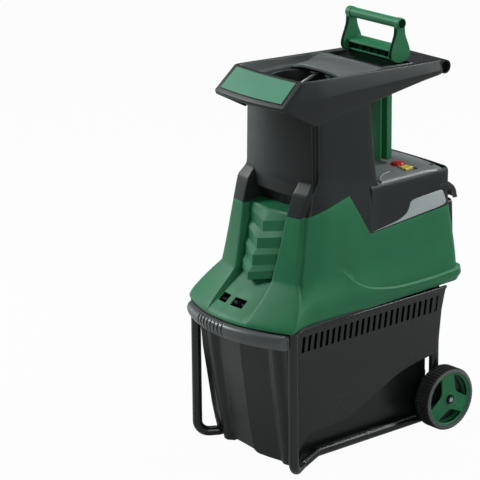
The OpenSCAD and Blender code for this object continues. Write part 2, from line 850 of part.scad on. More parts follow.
module start_button() color("forestgreen") push_button(start_x);

module direction_switch() color("gold") {
    rod_y(button_y - rocker_side / 2, button_y + rocker_side / 2, switch_x, cover_top + 2, rocker_side);
    block([switch_x - 2, button_y - rocker_side / 2, cover_top + 10],
          [switch_x + 2, button_y + rocker_side / 2, cover_top + rocker_side / 2 + 5]);
}

module switch_module() color(black) {
    difference() {
        block([-module_half, button_y - 30, cover_top - 52], [module_half, button_y + 32, cover_top - 12]);
        block([switch_x - 16, button_y - 16, cover_top - 20], [switch_x + 12, button_y + 16, cover_top]);
    }
    mirror_pair()
        block([module_half - 2, button_y - 12, cover_top - 30],
              [module_half + 9, button_y + 28, cover_top - shell_wall]);
}

function inset_points() = [
    [60, skirt_z + 205.5], [278, skirt_z + 221], [264, skirt_z + 260], [164, skirt_z + 253],
    [153, skirt_z + 228], [111, skirt_z + 211]];

module side_inset() {
    intersection() {
        side_prism(inset_points(), 2 * cover_half + 40);
        difference() {
            cover_solid(-1.4);
            cover_solid(-0.1);
        }
        block([100, -400, 0], [300, 400, 900]);
    }
}

module side_inset_right() color(grey) side_inset();

module side_inset_left() color(grey) mirror([1, 0, 0]) side_inset();

module inlet_hood() color(black)
    difference() {
        side_prism_at(58, 112, [[cover_rear, 564], [cover_rear + 26, 564], [cover_rear + 26, 592],
            [cover_rear + 12, 608], [cover_rear, 608]]);
        side_prism_at(61, 109, [[cover_rear - 1, 560], [cover_rear + 23, 560], [cover_rear + 23, 591],
            [cover_rear + 11, 605], [cover_rear - 1, 605]]);
    }

module mains_inlet() color(black) {
    block([61.3, cover_rear + 0.3, 590], [108.7, cover_rear + 21.7, 592]);
    block([64, cover_rear + 2, 592], [106, cover_rear + 10, 604]);
    for (x = [75, 85, 95])
        translate([x, cover_rear + 12, 572]) cylinder(d = 5, h = 20);
}

// Prism of a side-view outline between two X coordinates
module side_prism_at(x0, x1, points) {
    translate([(x0 + x1) / 2, 0, 0]) side_prism(points, x1 - x0);
}

// Hopper and plunger

module hopper_tray() color(charcoal) {
    difference() {
        union() {
            difference() {
                loft([ring(under_row, 0, 0, under_slope), ring(lip_row, 0), ring(rim_row, 0, 0, rim_slope)]);
                loft([ring(concat([floor_z], [for (i = [1:7]) (lip_row[i] + rim_row[i]) / 2]), hopper_wall),
                      ring(rim_row, hopper_wall, 1, rim_slope)]);
                loft([ring(under_row, hopper_wall, -1, under_slope),
                      ring(concat([floor_z - hopper_wall],
                          [for (i = [1:7]) (2 * lip_row[i] + rim_row[i]) / 3]), hopper_wall + 1)]);
            }
            block([-hopper_half + 6, 100, floor_z - 1], [hopper_half - 6, hopper_rear - 3, deck_plate_z]);
            translate([0, -throat_y, floor_z - 20]) cylinder(d = throat_d + 2 * chute_wall + 8, h = 20);
            mirror_pair()
                block([88, hopper_rear - 4, handle_z - 13], [104, handle_y + 4, handle_z + 13]);
        }
        translate([0, -throat_y, floor_z - hopper_wall - 0.1]) cylinder(d = throat_d, h = 100);
        translate([0, -throat_y, 700])
            cylinder(d = throat_d + 2 * chute_wall + 2 * chute_gap, h = floor_z - hopper_wall - 700);
        block([-blade_half - slot_gap, plunger_y - blade_depth / 2 - slot_gap, 700],
              [blade_half + slot_gap, plunger_y + blade_depth / 2 + slot_gap, 1000]);
        rod_x(-200, 200, handle_y, handle_z, handle_d + 2 * run_gap);
    }
}

// Point on the hopper's sloping front, t across and s up, pushed out along its slope
function bib(t, s, out) =
    let (c = lip_row[1] + (rim_row[1] - lip_row[1]) * s, y = lip_row[2] + (rim_row[2] - lip_row[2]) * s,
         bow = lip_row[3] + (rim_row[3] - lip_row[3]) * s, z = crease_z + (rim_z + 8 - crease_z) * s)
    [c * t, -y - bow * (1 - t * t) - 0.55 * out, z + 0.83 * out];

module hopper_front_plate() color(green)
    slab([for (s = [0.1:0.39:0.88]) [for (t = [-0.88:0.11:0.881]) bib(t, s, 2.4)]],
         [for (s = [0.1:0.39:0.88]) [for (t = [-0.88:0.11:0.881]) bib(t, s, 0.6)]]);

function arch(half, foot, rise, steps = 16) =
    [for (i = [0:steps]) let (x = half * (1 - 2 * i / steps)) [x, foot + rise * (1 - pow(x / half, 2))]];

module throat_hood() color(grey)
    translate([0, 98, 0])
        rotate([90, 0, 0])
            linear_extrude(116)
                polygon(concat(arch(104, floor_z + 0.2, 20), arch(-98, floor_z + 0.2, 17)));

module handle_tube() color(charcoal)
    difference() {
        rod_x(-hopper_half - 3, hopper_half + 3, handle_y, handle_z, handle_d);
        rod_x(-hopper_half - 9, hopper_half + 9, handle_y, handle_z, handle_d - 6);
    }

module plunger_handle() color(green) {
    rod_x(-grip_half, grip_half, grip_y, grip_z, grip_d);
    block([-grip_half, plunger_y - 24, shelf_z + seat_gap], [grip_half, plunger_y + 20, shelf_z + shelf_t]);
    mirror_pair()
        side_prism_at(grip_half - 9, grip_half, concat(
            [for (a = [0:15:180]) [grip_y + 13.5 * cos(a), grip_z + 13.5 * sin(a)]],
            [for (a = [170:20:370]) [plunger_y - 1 + pear_r * cos(a), shelf_z + 38 + pear_r * sin(a)]]));
    mirror_pair()
        block([grip_half - 9, plunger_y - 14, shelf_z + shelf_t - 1],
              [grip_half, plunger_y + 12, shelf_z + 30]);
}

module plunger_blade() color(green)
    difference() {
        block([-blade_half, plunger_y - blade_depth / 2, shelf_z - blade_len],
              [blade_half, plunger_y + blade_depth / 2, shelf_z + seat_gap]);
        for (k = [-2:2])
            for (y = [-1, 1])
                translate([k * 18 - 6, plunger_y + y * blade_depth / 2 - 4, shelf_z - blade_len + 12])
                    cube([12, 8, blade_len]);
    }

// Cutter

function chamber_bolt_places() =
    [for (x = [-chamber_half - 10, chamber_half + 10], y = [chamber_y0 + 20, chamber_y1 - 20]) [x, y]];

module cutting_chamber() color(alloy)
    difference() {
        union() {
            difference() {
                block([-chamber_half, chamber_y0, pan_top], [chamber_half, chamber_y1, chamber_top]);
                block([-chamber_half + chamber_wall, chamber_y0 + chamber_wall, pan_top - 1],
                      [chamber_half - chamber_wall, chamber_y1 - chamber_wall, chamber_top - chamber_wall]);
            }
            rod_y(chamber_y0 - 18, chamber_y0 + 1, drum_x, drum_z, bearing_d + 14);
            block([-chamber_half - 20, chamber_y0, pan_top], [-chamber_half + 1, chamber_y1, pan_top + 8]);
            block([chamber_half - 1, chamber_y0, pan_top], [chamber_half + 20, chamber_y1, pan_top + 8]);
            block([-chamber_half + 1, chamber_y0 + 1, plate_z0 - 10],
                  [plate_face - 2, chamber_y1 - 1, plate_z0 - seat_gap]);
        }
        translate([0, -throat_y, chamber_top - 20]) cylinder(d = throat_d - 40, h = 40);
        rod_y(chamber_y0 - 30, chamber_y1 + 10, drum_x, drum_z, shaft_d + 6);
        rod_y(chamber_y0 - 16, chamber_y0 - 16 + bearing_w, drum_x, drum_z, bearing_d + 2 * run_gap);
        rod_x(-200, -chamber_half + 20, screw_y, drum_z, screw_bolt_d + 2 * run_gap);
        for (p = chamber_bolt_places())
            translate([p[0], p[1], 300]) cylinder(d = bolt_d + 2 * run_gap, h = 100);
    }

module chamber_bolts() color(steel)
    for (p = chamber_bolt_places())
        translate([p[0], p[1], 0]) {
            translate([0, 0, pan_z - 1]) cylinder(d = bolt_d, h = pan_t + 10);
            translate([0, 0, pan_top + 8]) cylinder(d = 2 * bolt_d, h = 6, $fn = 6);
        }

module counter_plate() color(alloy)
    difference() {
        block([plate_face - plate_t, chamber_y0 + chamber_wall + 0.5, plate_z0],
              [plate_face, chamber_y1 - chamber_wall - 0.5, plate_z1]);
        rod_x(plate_face - plate_t - 1, plate_face - 3, screw_y, drum_z, screw_bolt_d + 2 * run_gap);
    }

module adjust_screw() color(steel) rod_x(-knob_in - 12, plate_face - 5, screw_y, drum_z, screw_bolt_d);

module adjust_knob() color(black)
    difference() {
        union() {
            rod_x(-knob_in - knob_t, -knob_in, screw_y, drum_z, 2 * knob_r - 8);
            for (k = [0:7])
                translate([-knob_in - knob_t, screw_y, drum_z])
                    rotate([45 * k, 0, 0])
                        translate([0, -5, 0]) cube([knob_t, 10, knob_r]);
        }
        rod_x(-knob_in - 12, -knob_in + 1, screw_y, drum_z, screw_bolt_d);
    }

module cutting_drum() color(steel)
    difference() {
        rod_y(drum_y0, drum_y1, drum_x, drum_z, 2 * drum_r);
        rod_y(drum_y0 - 1, drum_y1 + 1, drum_x, drum_z, shaft_d + 2 * run_gap);
        blade_bars(0.1, 2);
    }

module blade_bars(grow, extend) {
    for (k = [0:7])
        translate([drum_x, 0, drum_z])
            rotate([0, 45 * k + 10, 0])
                block([drum_r - 14 - grow, drum_y0 - extend, -5 - grow],
                      [drum_r + blade_proud, drum_y1 + extend, 5 + grow]);
}

module drum_blades() color(alloy) blade_bars(0, 0);

module drum_shaft() color(steel)
    rod_y(chamber_y0 - 17, gear_slow_y + gear_slow_w + 2, drum_x, drum_z, shaft_d);

module bearing(y) {
    difference() {
        rod_y(y, y + bearing_w, drum_x, drum_z, bearing_d);
        rod_y(y - 1, y + bearing_w + 1, drum_x, drum_z, shaft_d + 2 * run_gap);
    }
}

module drum_bearing_front() color(steel) bearing(chamber_y0 - 16);

module drum_bearing_rear() color(steel) bearing(case_y0 + 1);

// Gearbox and motor

function gear_points(n, m) = [
    for (i = [0:n - 1], q = [[-0.75, -1.1], [-0.28, 0.8], [0.28, 0.8], [0.75, -1.1]])
    let (r = m * n / 2, a = 360 / n * i + q[0] * m / r * 180 / PI)
    (r + q[1] * m) * [cos(a), sin(a)]];

// Spur gear along Y with one tooth in the direction start, measured from +X towards +Z
module spur(n, m, x, z, y, w, start) {
    translate([x, y + w, z])
        rotate([90, 0, 0])
            rotate([0, 0, start]) linear_extrude(w) polygon(gear_points(n, m));
}

module case_block(y0, y1, inset) {
    block([lay_x - 60 + inset, y0, drum_z - 85 + inset], [drum_x + 85 - inset, y1, lay_z + 59 - inset]);
}

module case_bolt_rods(y0, y1, d) {
    for (x = [lay_x - 51, drum_x + 76], z = [drum_z - 76, lay_z + 50])
        rod_y(y0, y1, x, z, d);
}

module gearbox_case() color(alloy)
    difference() {
        union() {
            difference() {
                case_block(case_y0, case_y1, 0);
                case_block(case_y0 + case_wall, case_y1 + 1, case_wall);
            }
            rod_y(case_y0, case_y0 + 17, drum_x, drum_z, bearing_d + 12);
            rod_y(case_y0, case_y0 + 14, lay_x, lay_z, lay_shaft_d + 10);
            intersection() {
                case_block(case_y0, case_y1, 0);
                case_bolt_rods(case_y0, case_y1, 15);
            }
        }
        rod_y(case_y0 - 1, case_y0 + 30, drum_x, drum_z, shaft_d + 6);
        rod_y(case_y0 + 1, case_y0 + 1 + bearing_w, drum_x, drum_z, bearing_d + 2 * run_gap);
        rod_y(case_y0 + 3, case_y0 + 30, lay_x, lay_z, lay_shaft_d + 2 * run_gap);
        case_bolt_rods(case_y1 - 26, case_y1 + 1, bolt_d + 2 * run_gap);
    }

module gearbox_cover() color(alloy)
    difference() {
        union() {
            case_block(case_y1, case_y1 + case_wall, 0);
            rod_y(case_y1 - 8, case_y1 + 1, lay_x, lay_z, lay_shaft_d + 10);
        }
        rod_y(case_y1 - 9, case_y1 + 3, lay_x, lay_z, lay_shaft_d + 2 * run_gap);
        rod_y(case_y1 - 1, case_y1 + case_wall + 1, motor_x, motor_z, motor_shaft_d + 2 * run_gap);
        case_bolt_rods(case_y1 - 1, case_y1 + case_wall + 1, bolt_d + 2 * run_gap);
    }

module motor_bolts() color(steel) {
    case_bolt_rods(case_y1 - 24, case_y1 + case_wall + 1, bolt_d);
    case_bolt_rods(case_y1 + case_wall, case_y1 + case_wall + 6, 2 * bolt_d);
}

module output_gear() color(steel)
    difference() {
        spur(gear_teeth, module_slow, drum_x, drum_z, gear_slow_y, gear_slow_w, lay_angle + 180 / gear_teeth);
        rod_y(gear_slow_y - 1, gear_slow_y + gear_slow_w + 1, drum_x, drum_z, shaft_d + 2 * run_gap);
    }

module layshaft() color(steel) {
    rod_y(case_y0 + 4, case_y1 + 2, lay_x, lay_z, lay_shaft_d);
    spur(pinion_teeth, module_slow, lay_x, lay_z, gear_slow_y - 2, gear_slow_w + 4, lay_angle + 180);
    spur(gear_teeth, module_fast, lay_x, lay_z, gear_fast_y, gear_fast_w, motor_angle + 180 / gear_teeth);
}

module motor_shaft() color(steel) {
    spur(pinion_teeth, module_fast, motor_x, motor_z, gear_fast_y - 1, case_y1 - gear_fast_y - 2,
        motor_angle + 180);
    rod_y(gear_fast_y + gear_fast_w + 3, fan_y + fan_w, motor_x, motor_z, motor_shaft_d);
}

module motor_rotor() color(grey)
    difference() {
        rod_y(motor_y0 + 20, motor_y1 - 20, motor_x, motor_z, motor_d * 0.55);
        rod_y(motor_y0, motor_y1, motor_x, motor_z, motor_shaft_d + 2 * run_gap);
    }

module motor_casing() color(alloy)
    difference() {
        union() {
            rod_y(motor_y0, motor_y1, motor_x, motor_z, motor_d);
            for (k = [0:11])
                translate([motor_x, motor_y0 + 10, motor_z])
                    rotate([0, 30 * k + 15, 0])
                        translate([0, 0, -2]) cube([motor_d / 2 + 4, motor_len - 20, 4]);
        }
        rod_y(motor_y0 + 6, motor_y1 - 6, motor_x, motor_z, motor_d - 12);
        rod_y(motor_y0 - 1, motor_y1 + 1, motor_x, motor_z, motor_shaft_d + 2 * run_gap);
    }

module cooling_fan() color(black)
    difference() {
        union() {
            rod_y(fan_y, fan_y + fan_w - 2, motor_x, motor_z, 36);
            for (k = [0:8])
                translate([motor_x, fan_y, motor_z])
                    rotate([0, 40 * k, 0]) translate([0, 0, -1.5]) cube([fan_r - 3, fan_w - 3, 3]);
            rod_y(fan_y, fan_y + 3, motor_x, motor_z, 2 * fan_r);
        }
        rod_y(fan_y - 1, fan_y + fan_w, motor_x, motor_z, motor_shaft_d + 2 * run_gap);
    }

module capacitor() color(black)
    rod_y(motor_y0 + 16, motor_y0 + 106, motor_x - (motor_d / 2 + 25) * cos(48),
        motor_z + (motor_d / 2 + 25) * sin(48), 42);

module housing_screws() color(steel)
    for (x = [-60, 60]) {
        rod_y(axle_y + 38, axle_y + 58, x, pan_z + pan_t / 2, screw_d);
        rod_y(axle_y + 57, axle_y + 60, x, pan_z + pan_t / 2, 2 * screw_d);
    }

frame_tube_left();
frame_tube_right();
axle();
wheel_left();
wheel_right();
tyre_left();
tyre_right();
wheel_spacers();
axle_caps();
base_pan();
lower_housing();
louvre_panel();
tower_shell();
feed_chute();
hopper_tray();
hopper_front_plate();
throat_hood();
handle_tube();
plunger_handle();
plunger_blade();
rear_cover();
control_deck();
side_inset_left();
side_inset_right();
stop_button();
start_button();
direction_switch();
switch_module();
inlet_hood();
mains_inlet();
collection_box();
box_grip_band();
box_latch();
box_switch();
box_switch_pin();
cutting_chamber();
counter_plate();
adjust_screw();
adjust_knob();
cutting_drum();
drum_blades();
drum_shaft();
drum_bearing_front();
drum_bearing_rear();
gearbox_case();
gearbox_cover();
output_gear();
layshaft();
motor_shaft();
motor_rotor();
motor_casing();
cooling_fan();
capacitor();
housing_screws();
deck_screws();
frame_bolts();
chamber_bolts();
motor_bolts();
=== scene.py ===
"""Looks of a garden shredder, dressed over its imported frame.

Shapes are worked out in millimetres and become metres when a mesh is made.
The frame has +X to the machine's right, the front at -Y and the floor at z = 0.
"""
import json
import math
from collections import Counter

import bmesh
import bpy
import numpy as np
from mathutils import Matrix, Vector


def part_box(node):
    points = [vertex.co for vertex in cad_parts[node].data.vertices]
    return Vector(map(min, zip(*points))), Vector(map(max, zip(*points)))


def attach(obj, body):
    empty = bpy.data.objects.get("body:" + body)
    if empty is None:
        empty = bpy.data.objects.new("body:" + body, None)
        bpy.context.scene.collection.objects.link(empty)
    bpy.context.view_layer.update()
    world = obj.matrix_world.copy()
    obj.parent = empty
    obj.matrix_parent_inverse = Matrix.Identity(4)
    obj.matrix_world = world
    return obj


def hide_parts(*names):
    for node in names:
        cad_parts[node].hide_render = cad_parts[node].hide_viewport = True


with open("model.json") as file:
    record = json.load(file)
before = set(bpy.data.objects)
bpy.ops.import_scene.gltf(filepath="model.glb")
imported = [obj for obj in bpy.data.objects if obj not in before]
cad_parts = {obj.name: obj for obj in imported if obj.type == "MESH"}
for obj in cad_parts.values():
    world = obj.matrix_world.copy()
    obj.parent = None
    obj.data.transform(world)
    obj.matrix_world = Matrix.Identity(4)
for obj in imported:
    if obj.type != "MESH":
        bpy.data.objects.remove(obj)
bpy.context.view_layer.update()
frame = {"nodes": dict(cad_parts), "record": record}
scene = bpy.context.scene
MM = 0.001


# Shape helpers

def node_box(node):
    """Lowest and highest corner of a CAD node in millimetres."""
    low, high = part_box(node)
    return np.array(low) / MM, np.array(high) / MM


def smooth(t):
    """Soft step from 0 to 1."""
    t = np.clip(t, 0.0, 1.0)
    return t * t * (3 - 2 * t)


def curve_through(x, keys):
    """Values at x of the smooth curve through rows of (place, values...), with no overshoot between them."""
    keys = np.asarray(keys, float)
    place, value = keys[:, 0], keys[:, 1:]
    step = np.diff(place)[:, None]
    rise = np.diff(value, axis=0) / step
    slope = np.vstack([rise[:1], np.zeros_like(rise[1:]), rise[-1:]])
    for k in range(1, len(rise)):
        same = rise[k - 1] * rise[k] > 0
        total = np.where(same, rise[k - 1] + rise[k], 1.0)
        slope[k] = np.where(same, 2 * rise[k - 1] * rise[k] / total, 0.0)
    i = int(np.clip(np.searchsorted(place, x) - 1, 0, len(step) - 1))
    t = float(np.clip((x - place[i]) / step[i, 0], 0.0, 1.0))
    return (value[i] * (1 + 2 * t) * (1 - t) ** 2 + slope[i] * step[i] * t * (1 - t) ** 2
            + value[i + 1] * t * t * (3 - 2 * t) + slope[i + 1] * step[i] * t * t * (t - 1))


def straight_through(x, keys):
    """Values at x of the straight lines through rows of (place, values...)."""
    keys = np.asarray(keys, float)
    return np.array([np.interp(x, keys[:, 0], column) for column in keys[:, 1:].T])


def corner(before, at, after, setback, steps):
    """Points of a rounded corner that starts and ends a setback away from it, or where its sides allow."""
    before, at, after = (np.asarray(p, float) for p in (before, at, after))
    u, w = before - at, after - at
    a = at + u * min(setback / max(np.linalg.norm(u), 1e-6), 0.48)
    b = at + w * min(setback / max(np.linalg.norm(w), 1e-6), 0.48)
    t = np.linspace(0, 1, steps + 1)[:, None]
    return list((1 - t) ** 2 * a + 2 * t * (1 - t) * at + t ** 2 * b)


def rounded(points, setbacks, steps, closed=True):
    """An outline with each corner rounded by its setback."""
    n = len(points)
    if np.isscalar(setbacks):
        setbacks = [setbacks] * n
    made = []
    for i, p in enumerate(points):
        if not closed and i in (0, n - 1):
            made.append(np.asarray(p, float))
        else:
            made += corner(points[i - 1], p, points[(i + 1) % n], setbacks[i], steps)
    return np.array(made)


def grid_faces(rows, columns, ring=False, keep=None):
    """Quads between rows of points, round and round where it is a ring."""
    faces = []
    for i in range(rows - 1):
        low, high = i * columns, (i + 1) * columns
        for j in range(columns if ring else columns - 1):
            if keep is None or keep(i, j):
                k = (j + 1) % columns
                faces.append((low + j, low + k, high + k, high + j))
    return faces


def lofted(rings, start=True, end=True):
    """Points and faces of a skin through rings of as many points each, closed at its start and its end."""
    n, last = len(rings[0]), (len(rings) - 1) * len(rings[0])
    faces = grid_faces(len(rings), n, ring=True)
    if start:
        faces.append(tuple(range(n))[::-1])
    if end:
        faces.append(tuple(range(last, last + n)))
    return [p for ring in rings for p in ring], faces


def add_object(name, data):
    """A new object in the scene for a mesh, a lamp or a camera."""
    obj = bpy.data.objects.new(name, data)
    scene.collection.objects.link(obj)
    return obj


def piece(name, part, slot, nodes=(), body="frame", finish=None, angle=32, thick=0.0, bevel=0.0, steps=2):
    """A mesh object on a body, with its looks and the CAD nodes that it stands for."""
    points, faces = part
    mesh = bpy.data.meshes.new(name)
    mesh.from_pydata([tuple(p) for p in np.asarray(points, float) * MM], [], faces)
    work = bmesh.new()
    work.from_mesh(mesh)
    bmesh.ops.remove_doubles(work, verts=work.verts, dist=2e-6)
    bmesh.ops.dissolve_degenerate(work, edges=work.edges, dist=1e-6)
    loose = [v for v in work.verts if not v.link_faces]
    bmesh.ops.delete(work, geom=loose, context="VERTS")
    bmesh.ops.recalc_face_normals(work, faces=work.faces)
    work.to_mesh(mesh)
    work.free()
    mesh.shade_smooth()
    mesh.set_sharp_from_angle(angle=math.radians(angle))
    uses = Counter(key for face in mesh.polygons for key in face.edge_keys)
    for line in mesh.edges:
        if uses[line.key] == 1:
            line.use_edge_sharp = True
    mesh.materials.append(finish or FINISH[slot])
    obj = add_object(name, mesh)
    if thick:
        wall = obj.modifiers.new("wall", "SOLIDIFY")
        wall.thickness = thick * MM
        wall.offset = -1
        wall.use_even_offset = False
    if bevel:
        soften(obj, bevel, steps, angle)
    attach(obj, body)
    if nodes:
        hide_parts(*nodes)


def soften(obj, width, steps=2, angle=32):
    """Rounds an object's edges that are sharper than an angle."""
    edge = obj.modifiers.new("edge", "BEVEL")
    edge.width = width * MM
    edge.segments = steps
    edge.limit_method = "ANGLE"
    edge.angle_limit = math.radians(angle)
    edge.harden_normals = True
    edge.use_clamp_overlap = True


def prism(outline, low, high, place):
    """An outline carried from low to high, where place gives a point for (u, v, height)."""
    return lofted([[place(p[0], p[1], h) for p in outline] for h in (low, high)])


def across_x(u, v, h):
    return (h, u, v)


def along_y(u, v, h):
    return (u, h, v)


def upright(u, v, h):
    return (u, v, h)


def rectangle(x0, x1, y0, y1):
    return [(x0, y0), (x1, y0), (x1, y1), (x0, y1)]


def slab(x0, x1, y0, y1, z0, z1):
    """A plain block between two corners, for pieces made of several."""
    return prism(rectangle(x0, x1, y0, y1), z0, z1, upright)


def joined(*parts):
    """Several sets of points and faces as one."""
    points, faces = [], []
    for p, f in parts:
        faces += [tuple(i + len(points) for i in face) for face in f]
        points += [tuple(q) for q in p]
    return points, faces


def mirrored(part):
    """The same points and faces on the other side of the middle."""
    points, faces = part
    return [(-p[0], p[1], p[2]) for p in points], [tuple(reversed(f)) for f in faces]


def turned_faces(steps, n, keep=None):
    """Quads between profiles of n points that stand round an axis."""
    faces = []
    for k in range(steps):
        here, there = k * n, (k + 1) % steps * n
        faces += [(here + i, here + i + 1, there + i + 1, there + i) for i in range(n - 1)
                  if keep is None or keep(k, i)]
    return faces


def turned(profile, centre, steps, wave=None):
    """A profile of (x, radius) turned about an axis along X, less what a wave takes off a point's radius."""
    points = []
    for k in range(steps):
        a = 2 * math.pi * k / steps
        for i, (x, r) in enumerate(profile):
            rr = r - (wave(k, i) if wave else 0.0)
            points.append((x, centre[0] + rr * math.cos(a), centre[1] + rr * math.sin(a)))
    return points, turned_faces(steps, len(profile))


def cad_part(node):
    """Points in millimetres and faces of a CAD node."""
    mesh = frame["nodes"][node].data
    return np.array([v.co for v in mesh.vertices]) / MM, [tuple(f.vertices) for f in mesh.polygons]


def bowed(share, half, front, bow):
    """A place on a front that bows outward, by its share of the half width."""
    return share * half, -(front + bow * (1 - share * share))


def swept(route, radius, bend, sides, steps):
    """A round tube along a route of corner points, with an arc at each inner corner."""
    route = [np.asarray(p, float) for p in route]
    line = [route[0]]
    for a, b, c in zip(route, route[1:], route[2:]):
        u, w = (a - b) / np.linalg.norm(a - b), (c - b) / np.linalg.norm(c - b)
        half = math.acos(float(np.clip(u @ w, -1, 1))) / 2
        middle = b + (u + w) / np.linalg.norm(u + w) * bend / math.sin(half)
        start, end = b + u * bend / math.tan(half) - middle, b + w * bend / math.tan(half) - middle
        turn = math.pi - 2 * half
        for t in np.arange(steps + 1) / steps:
            along = math.sin((1 - t) * turn) * start + math.sin(t * turn) * end
            line.append(middle + along / math.sin(turn))
    line.append(route[-1])
    side = np.array([1.0, 0.0, 0.0])
    rings = []
    for i, p in enumerate(line):
        ahead = line[min(i + 1, len(line) - 1)] - line[max(i - 1, 0)]
        ahead = ahead / np.linalg.norm(ahead)
        side = side - ahead * (side @ ahead)
        side = side / np.linalg.norm(side)
        up = np.cross(ahead, side)
        rings.append([p + radius * (side * math.cos(a) + up * math.sin(a))
                      for a in np.linspace(0, 2 * math.pi, sides, endpoint=False)])
    return lofted(rings)


# Finishes

class Signal:
    """A value, colour or vector in a material, on which Python's operators add nodes."""

    def __init__(self, tree, socket=None):
        self.tree = tree
        self.socket = socket

    def node(self, kind, settings=None, inputs=None, out=0):
        """The output of a new node, made from its type, its settings and its sockets' values or links."""
        made = self.tree.nodes.new(kind)
        for name, value in (settings or {}).items():
            if name == "stops":
                for stop, (place, shade) in zip(made.color_ramp.elements, value):
                    stop.position = place
                    stop.color = (shade, shade, shade, 1)
            else:
                setattr(made, name, value)
        for key, value in (inputs or {}).items():
            if isinstance(value, Signal):
                self.tree.links.new(value.socket, made.inputs[key])
            else:
                made.inputs[key].default_value = value
        return Signal(self.tree, made.outputs[out] if made.outputs else None)

    def maths(self, operation, a, b):
        return self.node("ShaderNodeMath", {"operation": operation}, {0: a, 1: b})

    def __add__(self, other):
        return self.maths("ADD", self, other)

    __radd__ = __add__

    def __sub__(self, other):
        return self.maths("SUBTRACT", self, other)

    def __rsub__(self, other):
        return self.maths("SUBTRACT", other, self)

    def __mul__(self, other):
        return self.maths("MULTIPLY", self, other)

    __rmul__ = __mul__

    def mix(self, a, b):
        """Colour a where this value is 0 and colour b where it is 1."""
        return self.node("ShaderNodeMix", {"data_type": "RGBA"}, {0: self, 6: a, 7: b}, out=2)

    def spread(self, low, high):
        """This value stretched to run from 0 at a low place to 1 at a high one."""
        return self.node("ShaderNodeValToRGB", {"stops": ((low, 0.0), (high, 1.0))}, {0: self})


def rgb(red, green, blue, factor=1.0):
    return (red * factor, green * factor, blue * factor, 1.0)


def blank_material(name):
    """A material without nodes and the start of its wires."""
    material = bpy.data.materials.new(name)
    material.use_nodes = True
    material.node_tree.nodes.clear()
    return material, Signal(material.node_tree)


def show(start, shader):
    """Joins a shader to the material's output."""
    start.node("ShaderNodeOutputMaterial", {}, {"Surface": shader})


def coat(start, **sockets):
    """The material's one shader, with values or links for its sockets."""
    named = {key.replace("_", " "): value for key, value in sockets.items()}
    show(start, start.node("ShaderNodeBsdfPrincipled", {}, named))


def noise(start, scale, detail=3.0, rough=0.5):
    place = start.node("ShaderNodeTexCoord", out=3)
    return start.node("ShaderNodeTexNoise", {"noise_dimensions": "3D"},
                      {"Vector": place, "Scale": scale, "Detail": detail, "Roughness": rough})


def bumped(start, height, depth):
    return start.node("ShaderNodeBump", {}, {"Height": height, "Distance": depth, "Strength": 1.0})


GRAIN = 1000.0
MOTTLE = 0.10


def moulded(name, colour, rough, depth=0.00008, worn=0.25, sheen=0.5):
    """Moulded plastic: a fine grain, faint broad clouding, paler rubbed edges and scuffs in its gloss."""
    material, start = blank_material(name)
    cloud = noise(start, 9.0, 4.0, 0.55).spread(0.3, 0.7)
    scuff = noise(start, 60.0, 5.0, 0.65).spread(0.52, 0.72)
    pores = noise(start, GRAIN, 2.0)
    edge = start.node("ShaderNodeNewGeometry", out=7).spread(0.505, 0.56)
    body = cloud.mix(rgb(*colour, 1 - MOTTLE), rgb(*colour, 1 + MOTTLE))
    pale = [min(1.0, c * 1.5 + 0.03) for c in colour]
    rubbed = (edge * worn).mix(body, rgb(*pale))
    shade = (pores.spread(0.35, 0.65) * 0.12).mix(rubbed, rgb(*colour, 0.7))
    gloss = rough + 0.07 * scuff + 0.05 * cloud - 0.06 * edge
    coat(start, IOR=1.5, Specular_IOR_Level=sheen, Base_Color=shade, Roughness=gloss,
         Normal=bumped(start, pores, depth))
    return material


def polished(name, colour):
    """Smooth coloured button plastic with fine scratches and finger marks in its gloss."""
    material, start = blank_material(name)
    cloud = noise(start, 40.0, 3.0)
    marks = noise(start, 260.0, 4.0, 0.7).spread(0.5, 0.7)
    body = cloud.mix(rgb(*colour, 0.88), rgb(*colour, 1.08))
    coat(start, IOR=1.5, Coat_Roughness=0.12, Base_Color=body, Roughness=0.22 + 0.16 * marks,
         Coat_Weight=0.35 - 0.2 * marks, Normal=bumped(start, marks, 0.00002))
    return material


def painted_tube(name, colour):
    """Stoved gloss paint on steel tube, with orange peel and a few dull rubs."""
    material, start = blank_material(name)
    peel = noise(start, 420.0, 2.0)
    rubs = noise(start, 35.0, 6.0, 0.7).spread(0.55, 0.75)
    body = rubs.mix(rgb(*colour), rgb(*colour, 1.8))
    coat(start, IOR=1.5, Coat_Roughness=0.2, Base_Color=body, Roughness=0.24 + 0.06 * rubs,
         Coat_Weight=0.15 - 0.10 * rubs, Normal=bumped(start, peel, 0.000002))
    return material


def metal(name, colour, rough, lines):
    """Bare metal with turning or casting marks at a given scale."""
    material, start = blank_material(name)
    marks = noise(start, lines, 3.0, 0.6)
    stain = noise(start, 25.0, 5.0, 0.6).spread(0.4, 0.8)
    body = stain.mix(rgb(*colour, 1.05), rgb(*colour, 0.7))
    coat(start, Metallic=1.0, Base_Color=body, Roughness=rough + 0.15 * stain + 0.1 * marks,
         Normal=bumped(start, marks, 0.0001))
    return material


